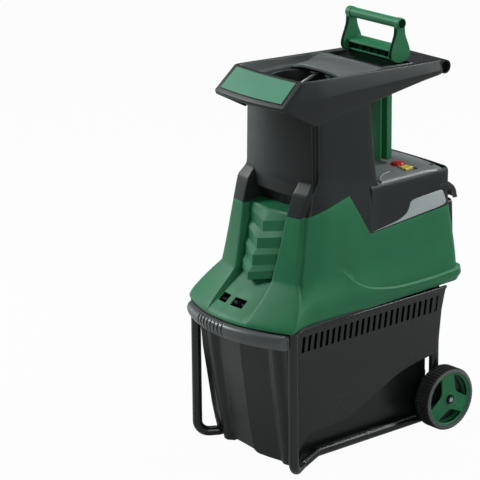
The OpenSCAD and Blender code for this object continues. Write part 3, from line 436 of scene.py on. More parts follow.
def rubber(name, tread, wall, centre, side_radius):
    """Tyre rubber: dark on the tread, dusty and speckled on the side walls, which lie inside a radius."""
    material, start = blank_material(name)
    place = start.node("ShaderNodeTexCoord", out=3)
    split = start.node("ShaderNodeVectorMath", {"operation": "SUBTRACT"}, {0: place, 1: centre})
    flat = start.node("ShaderNodeVectorMath", {"operation": "MULTIPLY"}, {0: split, 1: (0, 1, 1)})
    radius = start.node("ShaderNodeVectorMath", {"operation": "LENGTH"}, {0: flat}, out=1)
    inside = 1 - start.maths("GREATER_THAN", radius, side_radius)
    speck = noise(start, 700.0, 3.0, 0.7).spread(0.42, 0.62)
    dust = noise(start, 30.0, 4.0).spread(0.35, 0.7)
    side = speck.mix(rgb(*wall, 0.55), rgb(*wall, 1.25))
    body = inside.mix(dust.mix(rgb(*tread), rgb(*tread, 1.7)), side)
    coat(start, IOR=1.45, Specular_IOR_Level=0.3, Base_Color=body, Roughness=0.62 + 0.2 * dust,
         Normal=bumped(start, speck, 0.00015))
    return material


GREEN = (0.022, 0.178, 0.076)
CHARCOAL = (0.015, 0.0175, 0.0175)
GREY = (0.090, 0.097, 0.099)
PALE_GREY = (0.42, 0.44, 0.45)
BLACK = (0.008, 0.0095, 0.0095)
BAND_GREY = (0.085, 0.092, 0.093)

wheel_low, wheel_high = node_box("tyre_right")
WHEEL_CENTRE = ((wheel_low[1] + wheel_high[1]) / 2, (wheel_low[2] + wheel_high[2]) / 2)
WHEEL_R = (wheel_high[2] - wheel_low[2]) / 2

FINISH = {
    "green_plastic": moulded("green_moulding", GREEN, 0.46, sheen=0.3),
    "charcoal_plastic": moulded("charcoal_moulding", CHARCOAL, 0.40, sheen=0.35),
    "grey_plastic": moulded("grey_moulding", GREY, 0.46),
    "black_plastic": moulded("black_moulding", BLACK, 0.30, depth=0.00003, worn=0.15),
    "red_plastic": polished("red_button", (0.72, 0.022, 0.024)),
    "green_button": polished("green_button", (0.03, 0.34, 0.09)),
    "yellow_plastic": polished("yellow_rocker", (0.95, 0.68, 0.06)),
    "black_tube": painted_tube("black_tube", (0.008, 0.008, 0.009)),
    "tyre": rubber("tyre_rubber", (0.018, 0.019, 0.019), (0.16, 0.165, 0.165),
                   (0, WHEEL_CENTRE[0] * MM, WHEEL_CENTRE[1] * MM), (WHEEL_R - 3.2) * MM),
    "steel": metal("turned_steel", (0.52, 0.53, 0.54), 0.28, 500.0),
    "alloy": metal("cast_alloy", (0.62, 0.63, 0.64), 0.42, 160.0),
}
PALE_PANEL = moulded("pale_grey_moulding", PALE_GREY, 0.42)
# The lid's grey is paler than the grey moulding: painted light on the lid, which the hopper shades
LID_GREY_PAINTED_LIGHT = moulded("lid_grey_painted_light", (0.19, 0.198, 0.201), 0.44)
# Very dark, dull green: painted shade on the plunger's edges and under its shelf
DARK_GREEN_AND_SHADE = moulded("dark_green_and_painted_shade", (0.003, 0.018, 0.008), 0.7, worn=0.0, sheen=0.05)
# Paler green for the front plate: painted sheen, lighter than the green moulding
PLATE_GREEN_WITH_SHEEN = moulded("plate_green_painted_sheen", (0.045, 0.225, 0.130), 0.42)
BAND = moulded("band_moulding", BAND_GREY, 0.33, worn=0.3)
DARK_SCREW = metal("blackened_screw", (0.03, 0.03, 0.032), 0.4, 400.0)
# Black lining for the feed chute; the same black paints the shadow gap round the front plate
LINING_AND_GAP_SHADE = moulded("throat_lining_and_gap_shade", BLACK, 0.55, worn=0.1)


# Housing sections

# Height; front corner x, depth and bow; groove x and depth; ridge x and depth; side x and depth; rear x, y
HOUSING = [
    (362, 187, 259, 51, 186.5, 253, 185, 247, 171, 211, 152.5, 322),
    (368, 190, 257.5, 51, 189.5, 251.5, 188, 245, 172, 208, 153.5, 321),
    (378, 189, 252, 50, 188.5, 246, 187, 238, 173, 203, 155, 319),
    (400, 180, 235, 44, 179.5, 228, 179, 221, 174, 196, 156, 314),
    (430, 161, 214, 32, 160, 206, 162, 200, 164, 178, 155, 311),
    (446, 147.5, 205, 26, 146.5, 196, 151.5, 192.5, 159, 165, 153.5, 309.6),
    (454, 140.5, 200.8, 22.6, 139.8, 191, 147, 189.6, 157, 157, 152.2, 309.3),
    (458, 137, 199.6, 21.4, 136.8, 189.6, 144.8, 188.6, 156.2, 153, 151.5, 309.1),
    (461, 136, 199, 20.8, 136, 189, 144, 188, 155.5, 150, 151, 309),
    (500, 132.3, 191, 18, 132, 181, 141.5, 179, 152.5, 132, 148.5, 303),
    (540, 128, 184.5, 14.5, 128, 175, 139.5, 171, 149, 120, 146, 295),
    (575, 124.7, 179, 12, 124.5, 169.5, 137, 165, 146, 114, 143, 292),
    (609, 121.5, 173.7, 10.6, 121.5, 164, 135.5, 158, 143.5, 110, 141, 292),
    (650, 125.5, 160, 11, 125.5, 151, 133.5, 144.5, 137, 105, 138.5, 292),
]
SKIRT, CHANNEL_FOOT, SEAM_FRONT = 362, 464, 608
PAN_LIFT = 17
# Half width of the channel and depth of the valley under it, by height
CHANNEL_EDGE = [(362, 72), (420, 70), (464, 65.5), (609, 77.5), (665, 81)]
VALLEY_DEPTH = [(362, 0), (370, 1.5), (380, 6.5), (400, 13), (430, 19), (446, 23), (464, 27)]
WALL_RUN, DEEP_WALL = 5, 42
# Seam between the housing and what stands on it: place along Y and height
SEAM = [(-186, 608), (-35, 643), (24, 540), (336, 562)]
SEAM_LOW_Y, SEAM_LOW_Z = SEAM[2]
SEAM_GAP = 0.8
SIDE_Y = [-88, -75, -60, -48, -35, -25, -10, 5, 24, 34, 50, 70, 95, 120, 150, 180, 210, 240, 262]
FLOOR_X = [-62, -52, -41, -31, -22, -14, -4, 5, 16, 28, 42, 55]
WINDOWS = [(-62, -31), (-14, 28)]
WINDOW_LOW = 391
CREASE_LEVEL = 420
FACE_SHARES = np.array([0.1, 0.3, 0.5, 0.7, 0.88])


def channel_edge(z):
    return float(straight_through(z, CHANNEL_EDGE)[0])


def seam_height(y):
    return float(straight_through(y, SEAM)[0])


def front_y(x, cx, cy, bow):
    return -(cy + bow * (1 - (x / cx) ** 2))


def front_of_half(keys, edge, foot, brow_setback):
    """Right half of a section from the channel's wall over the brow, the face and the groove to the ridge."""
    cx, cy, bow, gx, gy, ridge_x, ridge_y, sx, sy = keys[:9]
    brow = (edge, front_y(edge, cx, cy, bow))
    face = [(x, front_y(x, cx, cy, bow)) for x in edge + (cx - edge) * FACE_SHARES]
    front, groove, ridge = (cx, -cy), (gx, -gy), (ridge_x, -ridge_y)
    half = [foot] + corner(foot, brow, face[0], brow_setback, 3) + face
    half += corner(face[-1], front, groove, 5, 3) + corner(front, groove, ridge, 4, 3)
    return half + corner(groove, ridge, (sx, -sy), 9, 4)


def housing_half(z):
    """Right half of the plan section at a height, from the channel's wall round to the back's middle."""
    keys = curve_through(z, HOUSING)
    ridge_x, ridge_y, sx, sy, rx, ry = keys[5:]
    edge = channel_edge(z)
    depth = float(curve_through(z, VALLEY_DEPTH)[0]) if z <= CHANNEL_FOOT + 0.2 else DEEP_WALL
    foot = (edge - WALL_RUN, front_y(edge - WALL_RUN, *keys[:3]) + depth)
    side = [(sx + (rx - sx) * (y + sy) / (ry + sy), y) for y in SIDE_Y]
    back = [(rx * t, ry + 5 * (1 - t * t)) for t in (0.72, 0.48, 0.24, 0.0)]
    half = front_of_half(keys, edge, foot, 4) + corner((ridge_x, -ridge_y), (sx, -sy), side[0], 26, 5)
    last = half[-1]
    half += [last + (np.array(side[0]) - last) * t for t in (0.33, 0.66)]
    half += side + corner(side[-1], (rx, ry), back[0], 36, 6) + back
    return np.array(half, float)


def loop_of(half, floor):
    """A whole section from its right half and the points between the two walls."""
    left = half[::-1] * (-1, 1)
    return np.vstack([left, floor, half])


def housing_section(z, cache={}):
    """Whole plan section at a height, kept for heights a quarter of a millimetre apart."""
    key = round(z * 4)
    if key not in cache:
        half = housing_half(z)
        cx, cy, bow = curve_through(z, HOUSING)[:3]
        depth = half[0][1] - front_y(half[0][0], cx, cy, bow)
        floor = np.array([(x, front_y(x, cx, cy, bow) + depth) for x in FLOOR_X])
        cache[key] = loop_of(half, floor)
    return cache[key]


# Side crease: place along Y, height, how far the part below it stands out and how tall its ledge is
CREASE = [(-130, 470, 0, 2.5), (-75, 472, 0.1, 2.5), (-43, 441, 2.4, 2.5), (14, 411, 5, 2.6),
          (112, 394, 7, 2.8), (226, 391, 7.5, 3), (280, 393, 7.5, 3), (318, 402, 7, 3)]


def lower_housing():
    """Green lower shell: apron with its valley and windows, posts beside the channel, creased sides."""
    at_seam = housing_section(SEAM_FRONT)
    at_crease = housing_section(CREASE_LEVEL)
    columns = len(at_seam)
    n_half = (columns - len(FLOOR_X)) // 2
    # Past the ridge: its last corner, two points, the side, the rear corner and the back
    front_end = n_half - (6 + 2 + len(SIDE_Y) + 7 + 4)
    floor_first, floor_last = n_half, n_half + len(FLOOR_X)
    low_z = [363, 364.5, 367, 371, 376, 383, 391, 406, 420, 435, 446, 454, 459, 464]
    low_share = [(z - SKIRT) / (CHANNEL_FOOT - SKIRT) for z in low_z]
    ledge = [(0.1, 0.95), (0.5, 0.45), (1.0, 0.0)]
    high_share = [0.08, 0.18, 0.3, 0.42, 0.54, 0.66, 0.78, 0.88, 0.95, 1.0]
    crease, top = [], []
    for j in range(columns):
        on_floor = floor_first <= j < floor_last
        from_floor = 0 if on_floor else min(abs(j - floor_first + 1), abs(j - floor_last))
        if from_floor < front_end:
            crease.append((CHANNEL_FOOT, 0.0, 4.0))
        else:
            crease.append(tuple(curve_through(at_crease[j][1], CREASE)))
        front = floor_first - 5 <= j < floor_last + 5
        top.append(SEAM_FRONT if front else seam_height(at_seam[j][1]))
    points = []

    def add(j, z, out, inset=0.0):
        # Away from the middle at the sides and at the back, not at all on the apron's front
        p = housing_section(z)[j]
        away = np.array([np.sign(p[0]) * smooth((abs(p[0]) - 60) / 60), smooth((p[1] - 250) / 50)])
        points.append((*(p + away * (out - inset)), z))

    for row, share in enumerate(low_share):
        for j in range(columns):
            z = SKIRT + share * (crease[j][0] - SKIRT)
            grow = smooth(share * 1.6)
            add(j, z, crease[j][1] * grow, 1.5 if row == 0 else 0.0)
    for rise, out in ledge:
        for j in range(columns):
            add(j, crease[j][0] + rise * crease[j][2], crease[j][1] * out)
    for share in high_share:
        for j in range(columns):
            start = crease[j][0] + crease[j][2]
            add(j, start + share * (top[j] - start), 0.0)
    rows = len(points) // columns
    window_row = low_z.index(WINDOW_LOW)
    open_row = len(low_z) - 1

    def keep(i, j):
        between = floor_first - 1 <= j < floor_last
        if i >= open_row and between:
            return False
        if i == window_row and floor_first <= j < floor_last - 1:
            x = (FLOOR_X[j - floor_first] + FLOOR_X[j - floor_first + 1]) / 2
            return not any(a < x < b for a, b in WINDOWS)
        return True

    piece("lower_housing_shell", (points, grid_faces(rows, columns, keep=keep)), "green_plastic",
          ["lower_housing"], angle=40, thick=3.0)


# Front edges of the louvres at the middle and 57 mm beside it, top one first
LOUVRE_MIDDLE = [(-184, 581), (-203, 543), (-217.5, 504), (-232, 465)]
LOUVRE_SIDE = [(-168.7, 592), (-179, 553), (-189.5, 514.3), (-200, 475.5)]
LOUVRE_REACH = 57.0
LOUVRE_DROP = 25


def louvre_panel():
    """Chevron louvres between the posts: upright facets and sloping ledges, foremost in the middle."""
    shares = [-1, -0.99, -0.8, -0.55, -0.3, -0.12, 0, 0.12, 0.3, 0.55, 0.8, 0.99, 1]
    profile = [((-112, 616), (-112, 616)), ((-164, 609), (-159, 610)), ((-170, 605), (-163, 606))]
    for k, (m, s) in enumerate(zip(LOUVRE_MIDDLE, LOUVRE_SIDE)):
        drop = LOUVRE_DROP if k < 3 else LOUVRE_DROP - 6
        profile += [(m, s), ((m[0] - 1.5, m[1] - drop), (s[0] - 1.5, s[1] - drop))]
    profile.append(((-205, 457), (-184, 464)))
    points = []
    for m, s in profile:
        half = channel_edge((m[1] + s[1]) / 2) - 1.2
        for share in shares:
            q = abs(share) * half / LOUVRE_REACH
            points.append((share * half, m[0] + (s[0] - m[0]) * q, m[1] + (s[1] - m[1]) * q))
    piece("louvre_steps", (points, grid_faces(len(profile), len(shares))), "green_plastic", ["louvre_panel"],
          angle=16, thick=2.5, bevel=1.6, steps=3)


def box_latch():
    """Black slide behind the apron, with a ribbed finger tab in the wider window."""
    low, high = node_box("box_latch")
    foot = low[2]
    bar = slab(low[0], high[0], -262, -248, foot, foot + 6)
    tab = prism(rounded(rectangle(-10, 4, -268, -258), 2, 3), foot + 4, foot + 11, upright)
    ribs = [slab(x - 0.8, x + 0.8, -267, -259, foot + 10, foot + 12) for x in (-7, -3, 1)]
    piece("latch_slide", joined(bar, tab, *ribs), "black_plastic", ["box_latch"], body="latch", angle=35,
          bevel=0.5)


# Tower

# Height; front corner x, depth and bow; groove x and depth; ridge x and depth; side x and depth; rear x, y
TOWER = [
    (540, 128, 184.5, 14.5, 128, 175, 139.5, 171, 149, 120, 147.7, 66),
    (575, 124.7, 179, 12, 124.5, 169.5, 137, 165, 146, 114, 144.7, 66),
    (609, 121.5, 173.7, 10.6, 121.5, 164, 135.5, 158, 143.5, 110, 142.4, 66),
    (640, 124.5, 163, 11, 124.5, 154.5, 134, 148, 138.5, 106, 138, 66),
    (663, 127, 154.3, 11.6, 126.5, 146.6, 132.6, 139.6, 134.7, 104.2, 134.4, 64),
    (667, 126.4, 151.5, 11.9, 126.1, 144.5, 132.3, 138, 134.3, 103.8, 134, 63.8),
    (685, 120, 136, 13.5, 121.2, 132, 130.2, 125.8, 131.6, 100.2, 131.4, 62),
    (689, 119.2, 134.2, 14.2, 118.6, 126.6, 129.7, 124.4, 131.2, 99, 131, 61.5),
    (700, 118, 133, 17, 116.6, 122, 128.5, 120, 130, 95, 130, 60),
    (760, 116.5, 133, 17, 115.1, 121.5, 127, 119.5, 128.5, 95, 128.5, 52),
    (890, 113.2, 133, 17, 111.8, 121, 123.6, 119, 125.2, 95, 125.2, 46),
]
TOWER_FACE = (118, 133, 17)
TOWER_LIP_TOP, POST_TOP = 687, 665
TUCK = 7
# How far the middle of the tower's front lies behind its face, from the louvres up to the rolled lower lip
TOWER_RECESS = [(606, 26), (634, 26), (641, 24), (644, 12), (646.5, 2.5), (649, 0.3), (652, 0), (900, 0)]
TOWER_SIDE_Y = [-82, -70, -58, -46, -35, -25, -10, 5, 24, 34]
TOWER_X = [-72, -58, -42, -27, -13, 0, 13, 27, 42, 58, 72]


def tower_section(z, cache={}):
    """Whole plan section of the tower at a height, kept like those of the housing."""
    key = round(z * 4)
    if key in cache:
        return cache[key]
    keys = straight_through(z, TOWER)
    ridge_x, ridge_y, sx, sy, rx, ry = keys[5:]
    edge = channel_edge(min(z, POST_TOP))
    back_by = float(straight_through(z, TOWER_RECESS)[0])

    def middle(x):
        if z > TOWER_LIP_TOP:
            return front_y(x, *keys[:3])
        return front_y(x, *TOWER_FACE) + back_by * (1 - 0.25 * (x / 80) ** 2)

    side = [(sx + (rx - sx) * (y + sy) / (ry + sy), y) for y in TOWER_SIDE_Y]
    back = [(rx * t, ry) for t in (0.75, 0.5, 0.25, 0.0)]
    half = front_of_half(keys, edge, (edge - 1.5, middle(edge - 1.5)), 3)
    half += corner((ridge_x, -ridge_y), (sx, -sy), side[0], 14, 4)
    half += side + corner(side[-1], (rx, ry), back[0], 14, 5) + back
    floor = np.array([(x, middle(x)) for x in TOWER_X])
    cache[key] = loop_of(np.array(half, float), floor)
    return cache[key]


def tower_shell():
    """Dark tower over the posts: slanted post tops, a rolled lip over the louvres, a ridge at each side."""
    front_z = [608.8, 612, 618, 626, 634, 641, 644.5, 646.8, 649, 652, 657, 663, 667, 676, 685, 689, 700, 725,
               760, 800, 840, 886]
    low, high = front_z[0], front_z[-1]
    base = tower_section(low)
    columns = len(base)
    n_half = (columns - len(TOWER_X)) // 2
    # The rear corner, the back and one point more lie inside the rear cover
    tucked_from = n_half - (6 + 4 + 1)
    points = []
    for z0 in front_z:
        share = (z0 - low) / (high - low)
        for j, p in enumerate(base):
            # Points past the channel's edge: level rows in front, rows that rise from the seam at the side
            rank = max(n_half - 1 - min(j, columns - 1 - j), 0)
            bottom = low
            if rank >= 6:
                bottom = max(seam_height(min(p[1], SEAM_LOW_Y)) + SEAM_GAP, SEAM_LOW_Z)
            blend = smooth((rank - 8) / 14)
            z = max((1 - blend) * z0 + blend * (bottom + share * (high - bottom)), bottom)
            q = tower_section(z)[j].copy()
            if rank > tucked_from and z < COVER_TOP:
                q[0] -= np.sign(q[0]) * TUCK
            points.append((*q, z))
    faces = grid_faces(len(front_z), columns)
    piece("tower_moulding", (points, faces), "charcoal_plastic", ["tower_shell"], angle=42, thick=3.0)


# Rear cover, control deck and what is set in them

COVER_FRONT, COVER_TOP = 34.8, 651
# Height; half width at the front edge, half width at the rear corner, rear corner y
COVER = [(530, 148.6, 146.8, 295), (575, 144.9, 143.2, 292.5), (609, 142.6, 141, 293.5),
         (640, 140.6, 139.4, 296), (647, 139.4, 138.2, 295), (651, 136.5, 135.5, 292)]
COVER_Y = [34.8, 50, 70, 95, 120, 150, 180, 210, 240, 258]
# The lid is crowned across its half width. The CAD lid, whose screws are taken over, lies higher
DECK_FRONT, DECK_HALF, DECK_TOP, DECK_CROWN = 60, 139, 666, 11
CAD_DECK_TOP, CAD_DECK_CROWN = 671.5, 16
BUTTON_X, BUTTON_Y, BUTTON_R, WELL_R = 67, 188, 15.2, 16.2


def cover_side(y, z):
    """Half width of the rear cover's side."""
    fx, rx, ry = straight_through(z, COVER)
    return fx + (rx - fx) * (y - COVER_FRONT) / (ry - COVER_FRONT)


def cover_half(z):
    _, rx, ry = straight_through(z, COVER)
    side = [(cover_side(y, z), y) for y in COVER_Y]
    back = [(rx * t, ry + 7 * (1 - t * t)) for t in (0.75, 0.5, 0.25, 0.0)]
    return np.array(side + corner(side[-1], (rx, ry), back[0], 34, 7) + back, float)


def rear_cover():
    """Dark cover behind the tower, under the control deck."""
    shares = [0, 0.02, 0.2, 0.4, 0.6, 0.78, 0.88, 0.94, 0.97, 1.0]
    base = cover_half(560)
    points = []
    for share in shares:
        row = []
        for j, p in enumerate(base):
            bottom = seam_height(p[1]) + SEAM_GAP
            z = bottom + share * (COVER_TOP - bottom)
            row.append((*cover_half(z)[j], z))
        points += [(-x, y, z) for x, y, z in row[::-1]] + row
    piece("rear_cover_moulding", (points, grid_faces(len(shares), 2 * len(base))), "charcoal_plastic",
          ["rear_cover"], angle=40, thick=2.5)


def deck_height(x, y):
    crown = (x / DECK_HALF) ** 2
    return DECK_TOP - DECK_CROWN * crown - (5 + 8 * (1 - crown)) * smooth((y - 205) / 85)


def control_deck():
    """Grey lid with a crown across it, a rounded edge, a bowed back and round wells for its buttons."""
    xs = np.concatenate([[-137.5], np.linspace(-135, 135, 41), [137.5]])
    shares = np.concatenate([[0, 0.015], np.linspace(0.06, 0.94, 21), [0.985, 1.0]])
    points = []
    for t in shares:
        for x in xs:
            rear = 276 + 15 * (1 - (x / DECK_HALF) ** 2)
            y = DECK_FRONT + t * (rear - DECK_FRONT)
            # How far into the rounded edge at the sides, at the back and at the front
            edge = max(abs(x) - 132.5, 0) / 5, max(y - rear + 6, 0) / 6, max(DECK_FRONT + 4 - y, 0) / 4
            drop = 3.6 * min(1.0, sum(e * e for e in edge))
            sink = sum(2.2 * smooth((WELL_R + 3 - math.hypot(x - well, y - BUTTON_Y)) / 3)
                       for well in (BUTTON_X, -BUTTON_X))
            points.append((x, y, deck_height(x, y) - drop - sink))
    n, rows, base = len(xs), len(shares), len(points)
    rim = [i * n for i in range(rows)] + [(rows - 1) * n + j for j in range(1, n)]
    rim += [i * n + n - 1 for i in range(rows - 2, -1, -1)] + list(range(n - 2, 0, -1))
    points += [(points[i][0] * 0.995, points[i][1], min(points[i][2], COVER_TOP + 1) - 2) for i in rim]
    m = len(rim)
    faces = grid_faces(rows, n)
    faces += [(rim[k], rim[(k + 1) % m], base + (k + 1) % m, base + k) for k in range(m)]
    piece("control_lid", (points, faces), "grey_plastic", ["control_deck"], finish=LID_GREY_PAINTED_LIGHT, angle=40)


def deck_ridge():
    """Curved upstand on the lid that runs round the foot of the tower to each side."""
    path = [(136, 66), (128, 72), (117, 82), (106, 96), (98, 114), (94, 136)]
    parts = []
    for sign in (1, -1):
        points = []
        n = len(path)
        for k, (x, y) in enumerate(path):
            a, b = path[max(k - 1, 0)], path[min(k + 1, n - 1)]
            d = np.array([b[0] - a[0], b[1] - a[1]], float)
            d /= np.linalg.norm(d)
            tall = 4.5 * (1 - k / (n - 1)) + 0.6
            for across, up in ((-3.2, -2), (-2.2, tall * 0.8), (0, tall), (2.2, tall * 0.8), (3.2, -2)):
                px, py = x - d[1] * across, y + d[0] * across
                points.append((sign * px, py, deck_height(px, py) + up))
        parts.append((points, grid_faces(n, 5)))
    piece("control_lid_ridges", joined(*parts), "grey_plastic", finish=LID_GREY_PAINTED_LIGHT, angle=60)


def side_insets():
    """Pale panel let into each side of the rear cover, with a curved front."""
    outline = [(33, 543), (112, 549.5), (262, 561), (279, 566), (266, 601), (168, 594.5), (158, 590),
               (152, 574), (138, 561), (110, 552.5), (60, 546.5)]
    shape = rounded(outline, [1, 30, 20, 10, 8, 10, 8, 10, 14, 20, 20], 3)
    middle = shape.mean(axis=0)
    parts = []
    for sign in (1, -1):
        rings = []
        for out, shrink in ((-2.0, 1.0), (0.7, 1.0), (1.3, 0.985)):
            rings.append([(sign * (cover_side(*p) + out), *(middle + (p - middle) * shrink)) for p in shape])
        parts.append(lofted(rings, start=False))
    piece("side_insets", joined(*parts), "grey_plastic", ["side_inset_left", "side_inset_right"],
          finish=PALE_PANEL, angle=30)


def push_button(name, node, sign, profile, slot, body):
    """A round cap turned from a profile of (radius share, height over the lid), on a stem to its switch."""
    low, _ = node_box(node)
    top = deck_height(BUTTON_X, BUTTON_Y)
    rings = [(top + h, BUTTON_R * share) for share, h in profile] + [(low[2], BUTTON_R)]
    points, faces = turned(rings, (0, 0), 48)
    placed = [(sign * BUTTON_X + p[1], BUTTON_Y + p[2], p[0]) for p in points]
    piece(name, (placed, faces), slot, [node], body=body, angle=50)


def push_buttons():
    """Domed red stop button on the right and dished green start button on the left."""
    domed = [(0.001, 6.0), (0.5, 5.7), (0.8, 5.0), (0.94, 4.0), (1.0, 2.4)]
    dished = [(0.001, 4.2), (0.5, 4.5), (0.82, 5.2), (0.92, 5.0), (1.0, 3.4)]
    push_button("stop_cap", "stop_button", 1, domed, "red_plastic", "stop")
    push_button("start_cap", "start_button", -1, dished, "green_button", "start")


def direction_rocker():
    """Yellow rocker with a shallow dip across its middle, in a slim dark frame."""
    low, high = node_box("direction_switch")
    middle = (low[0] + high[0]) / 2 - 10
    near, far, half = 173, 197, 11.5
    foot, top = low[2] + 5, deck_height(middle, BUTTON_Y)
    left = [(-half, foot), (-half, top + 3.4), (-half + 1, top + 4.4), (-6, top + 3.8)]
    profile = left + [(0, top + 2.8)] + [(-x, z) for x, z in left[::-1]]
    outline = [(middle + x, z) for x, z in profile]
    piece("direction_rocker", prism(outline, near, far, along_y), "yellow_plastic", ["direction_switch"],
          body="direction", angle=30, bevel=0.7)
    rings = []
    for grow, up in ((4.4, -3), (4.2, 0.9), (3.6, 1.2), (2.5, 1.2), (2.3, -3)):
        outer = rectangle(middle - half - grow, middle + half + grow, near - grow, far + grow)
        rings.append([(x, y, deck_height(x, y) + up) for x, y in rounded(outer, 2.5, 3)])
    piece("rocker_frame", lofted(rings, start=False, end=False), "grey_plastic", angle=35)


def deck_screws():
    """Blackened screws in the lid, at the lid's height."""
    points, faces = cad_part("deck_screws")
    for p in points:
        p[2] = p[2] + deck_height(p[0], p[1]) - (CAD_DECK_TOP - CAD_DECK_CROWN * (p[0] / DECK_HALF) ** 2)
    piece("lid_screws", (points, faces), "steel", ["deck_screws"], finish=DARK_SCREW, angle=30)


def base_pan():
    """Floor of the housing, at the height of the skirt."""
    points, faces = cad_part("base_pan")
    piece("housing_floor", (points + (0, 0, PAN_LIFT), faces), "charcoal_plastic", ["base_pan"], angle=30)


def inlet_visor():
    """Black visor over the mains inlet, hooked down at the rear and wrapped round the right corner."""
    setback = [2, 8, 8, 1.5, 1.5, 8, 6, 2]
    hook = rounded([(292, 613), (310, 607), (329, 592), (330.5, 566), (326, 565), (322, 584), (306, 595),
                    (288, 597)], setback, 4)
    wrap = rounded([(256, 615.5), (287, 613.5), (312, 595), (318, 570), (304, 571), (298, 598), (281, 606),
                    (256, 607.5)], setback, 4)
    ends = [(46, 0, 0.94), (47.5, 0, 1), (118, 0, 1), (126, 0.25, 1), (134, 0.75, 1), (141, 1, 1),
            (142.2, 1, 0.96)]
    rings = []
    for x, share, shrink in ends:
        ring = hook + (wrap - hook) * share
        middle = ring.mean(axis=0)
        rings.append([(x, *(middle + (p - middle) * shrink)) for p in ring])
    cheek = prism(rounded([(288, 612), (328, 592), (329, 572), (288, 562)], 3, 3), 46.5, 49.5, across_x)
    piece("inlet_visor", joined(lofted(rings), cheek), "black_plastic", ["inlet_hood"], angle=35)


def rear_vent():
    """Black vent panel on the back of the housing, with slats for the motor's air."""
    outline = rounded([(-128, 438), (128, 438), (131, 566), (-131, 566)], 12, 4)
    face_y = [(440, 314.5), (470, 314), (500, 312), (566, 307)]
    middle = 502

    def back_y(x, z):
        return float(straight_through(z, face_y)[0]) + 5 * (1 - (x / 150) ** 2)

    rings = []
    for out, shrink in ((-14, 1.0), (2.0, 1.0), (3.2, 0.985), (3.2, 0.93), (0.6, 0.915)):
        ring = [(x * shrink, middle + (z - middle) * shrink) for x, z in outline]
        rings.append([(x, back_y(x, z) + out, z) for x, z in ring])
    parts = [lofted(rings, start=False)]
    slat = rounded([(-4, -3), (5, -4.5), (6, -2.5), (-3, 2)], 0.8, 2)
    for z in range(454, 551, 12):
        half = 114 + 0.03 * (z - 457)
        parts.append(lofted([[(x, back_y(x, z) + d + 0.5, z + u) for d, u in slat]
                             for x in np.linspace(-half, half, 9)]))
    piece("rear_vent", joined(*parts), "black_plastic", angle=35)


# Collection box and its grip band

# Height; half width at the front, front corner depth, half width at the rear, rear y of the side wings
BOX = [(3, 150, 208, 149, 240), (60, 155, 219, 151, 242), (120, 159, 231, 152.5, 244),
       (178, 161, 241, 154, 246), (290, 162.5, 252, 156.6, 254), (330, 163, 254, 157.2, 262),
       (358, 163, 255, 157.6, 271)]
BOX_TOP, BOX_FLOOR = 358, 20
BOX_BOW, BOX_SIDE_FROM, BOX_MIDDLE = 8, 210, 200
WING_WIDE, WING_ROUND = 4.8, 2.2
BOX_BACK, BOX_BACK_HALF = 233, 124
SLOT_COUNT, SLOT_FIRST, SLOT_STEP, SLOT_WIDE = 24, -208, 19.0, 8.6
SLOT_LOW, SLOT_HIGH = 299, 338
SLOT_LEAN = 5
# Edge of the hollow that clears the wheels: place along Y and height
HOLLOW = [(-215, 40), (-175, 83), (-62, 92), (36, 131), (135, 170), (240, 186)]
HOLLOW_HALF, HOLLOW_FRONT = 123, 83
# Front relief: share of the half width, how far it lies behind the pillars, bottom edge on the left and right
FRONT_RELIEF = [(0, 0, 13, 13), (0.012, 0.2, 13, 11), (0.05, 1.2, 13, 6), (0.1, 2.2, 13, 4),
                (0.3, 5.5, 13, 3), (0.5, 8.8, 12, 3), (0.55, 9.6, 8, 3), (0.565, 9.4, 6, 3),
                (0.62, 5.2, 5, 3), (0.675, 1.0, 4, 3), (0.7, 0.2, 3, 3), (0.79, 0.4, 3, 4),
                (0.81, 2, 4, 5), (0.83, 5.5, 6, 8), (0.86, 6.5, 9, 10), (0.93, 5.5, 10, 12)]


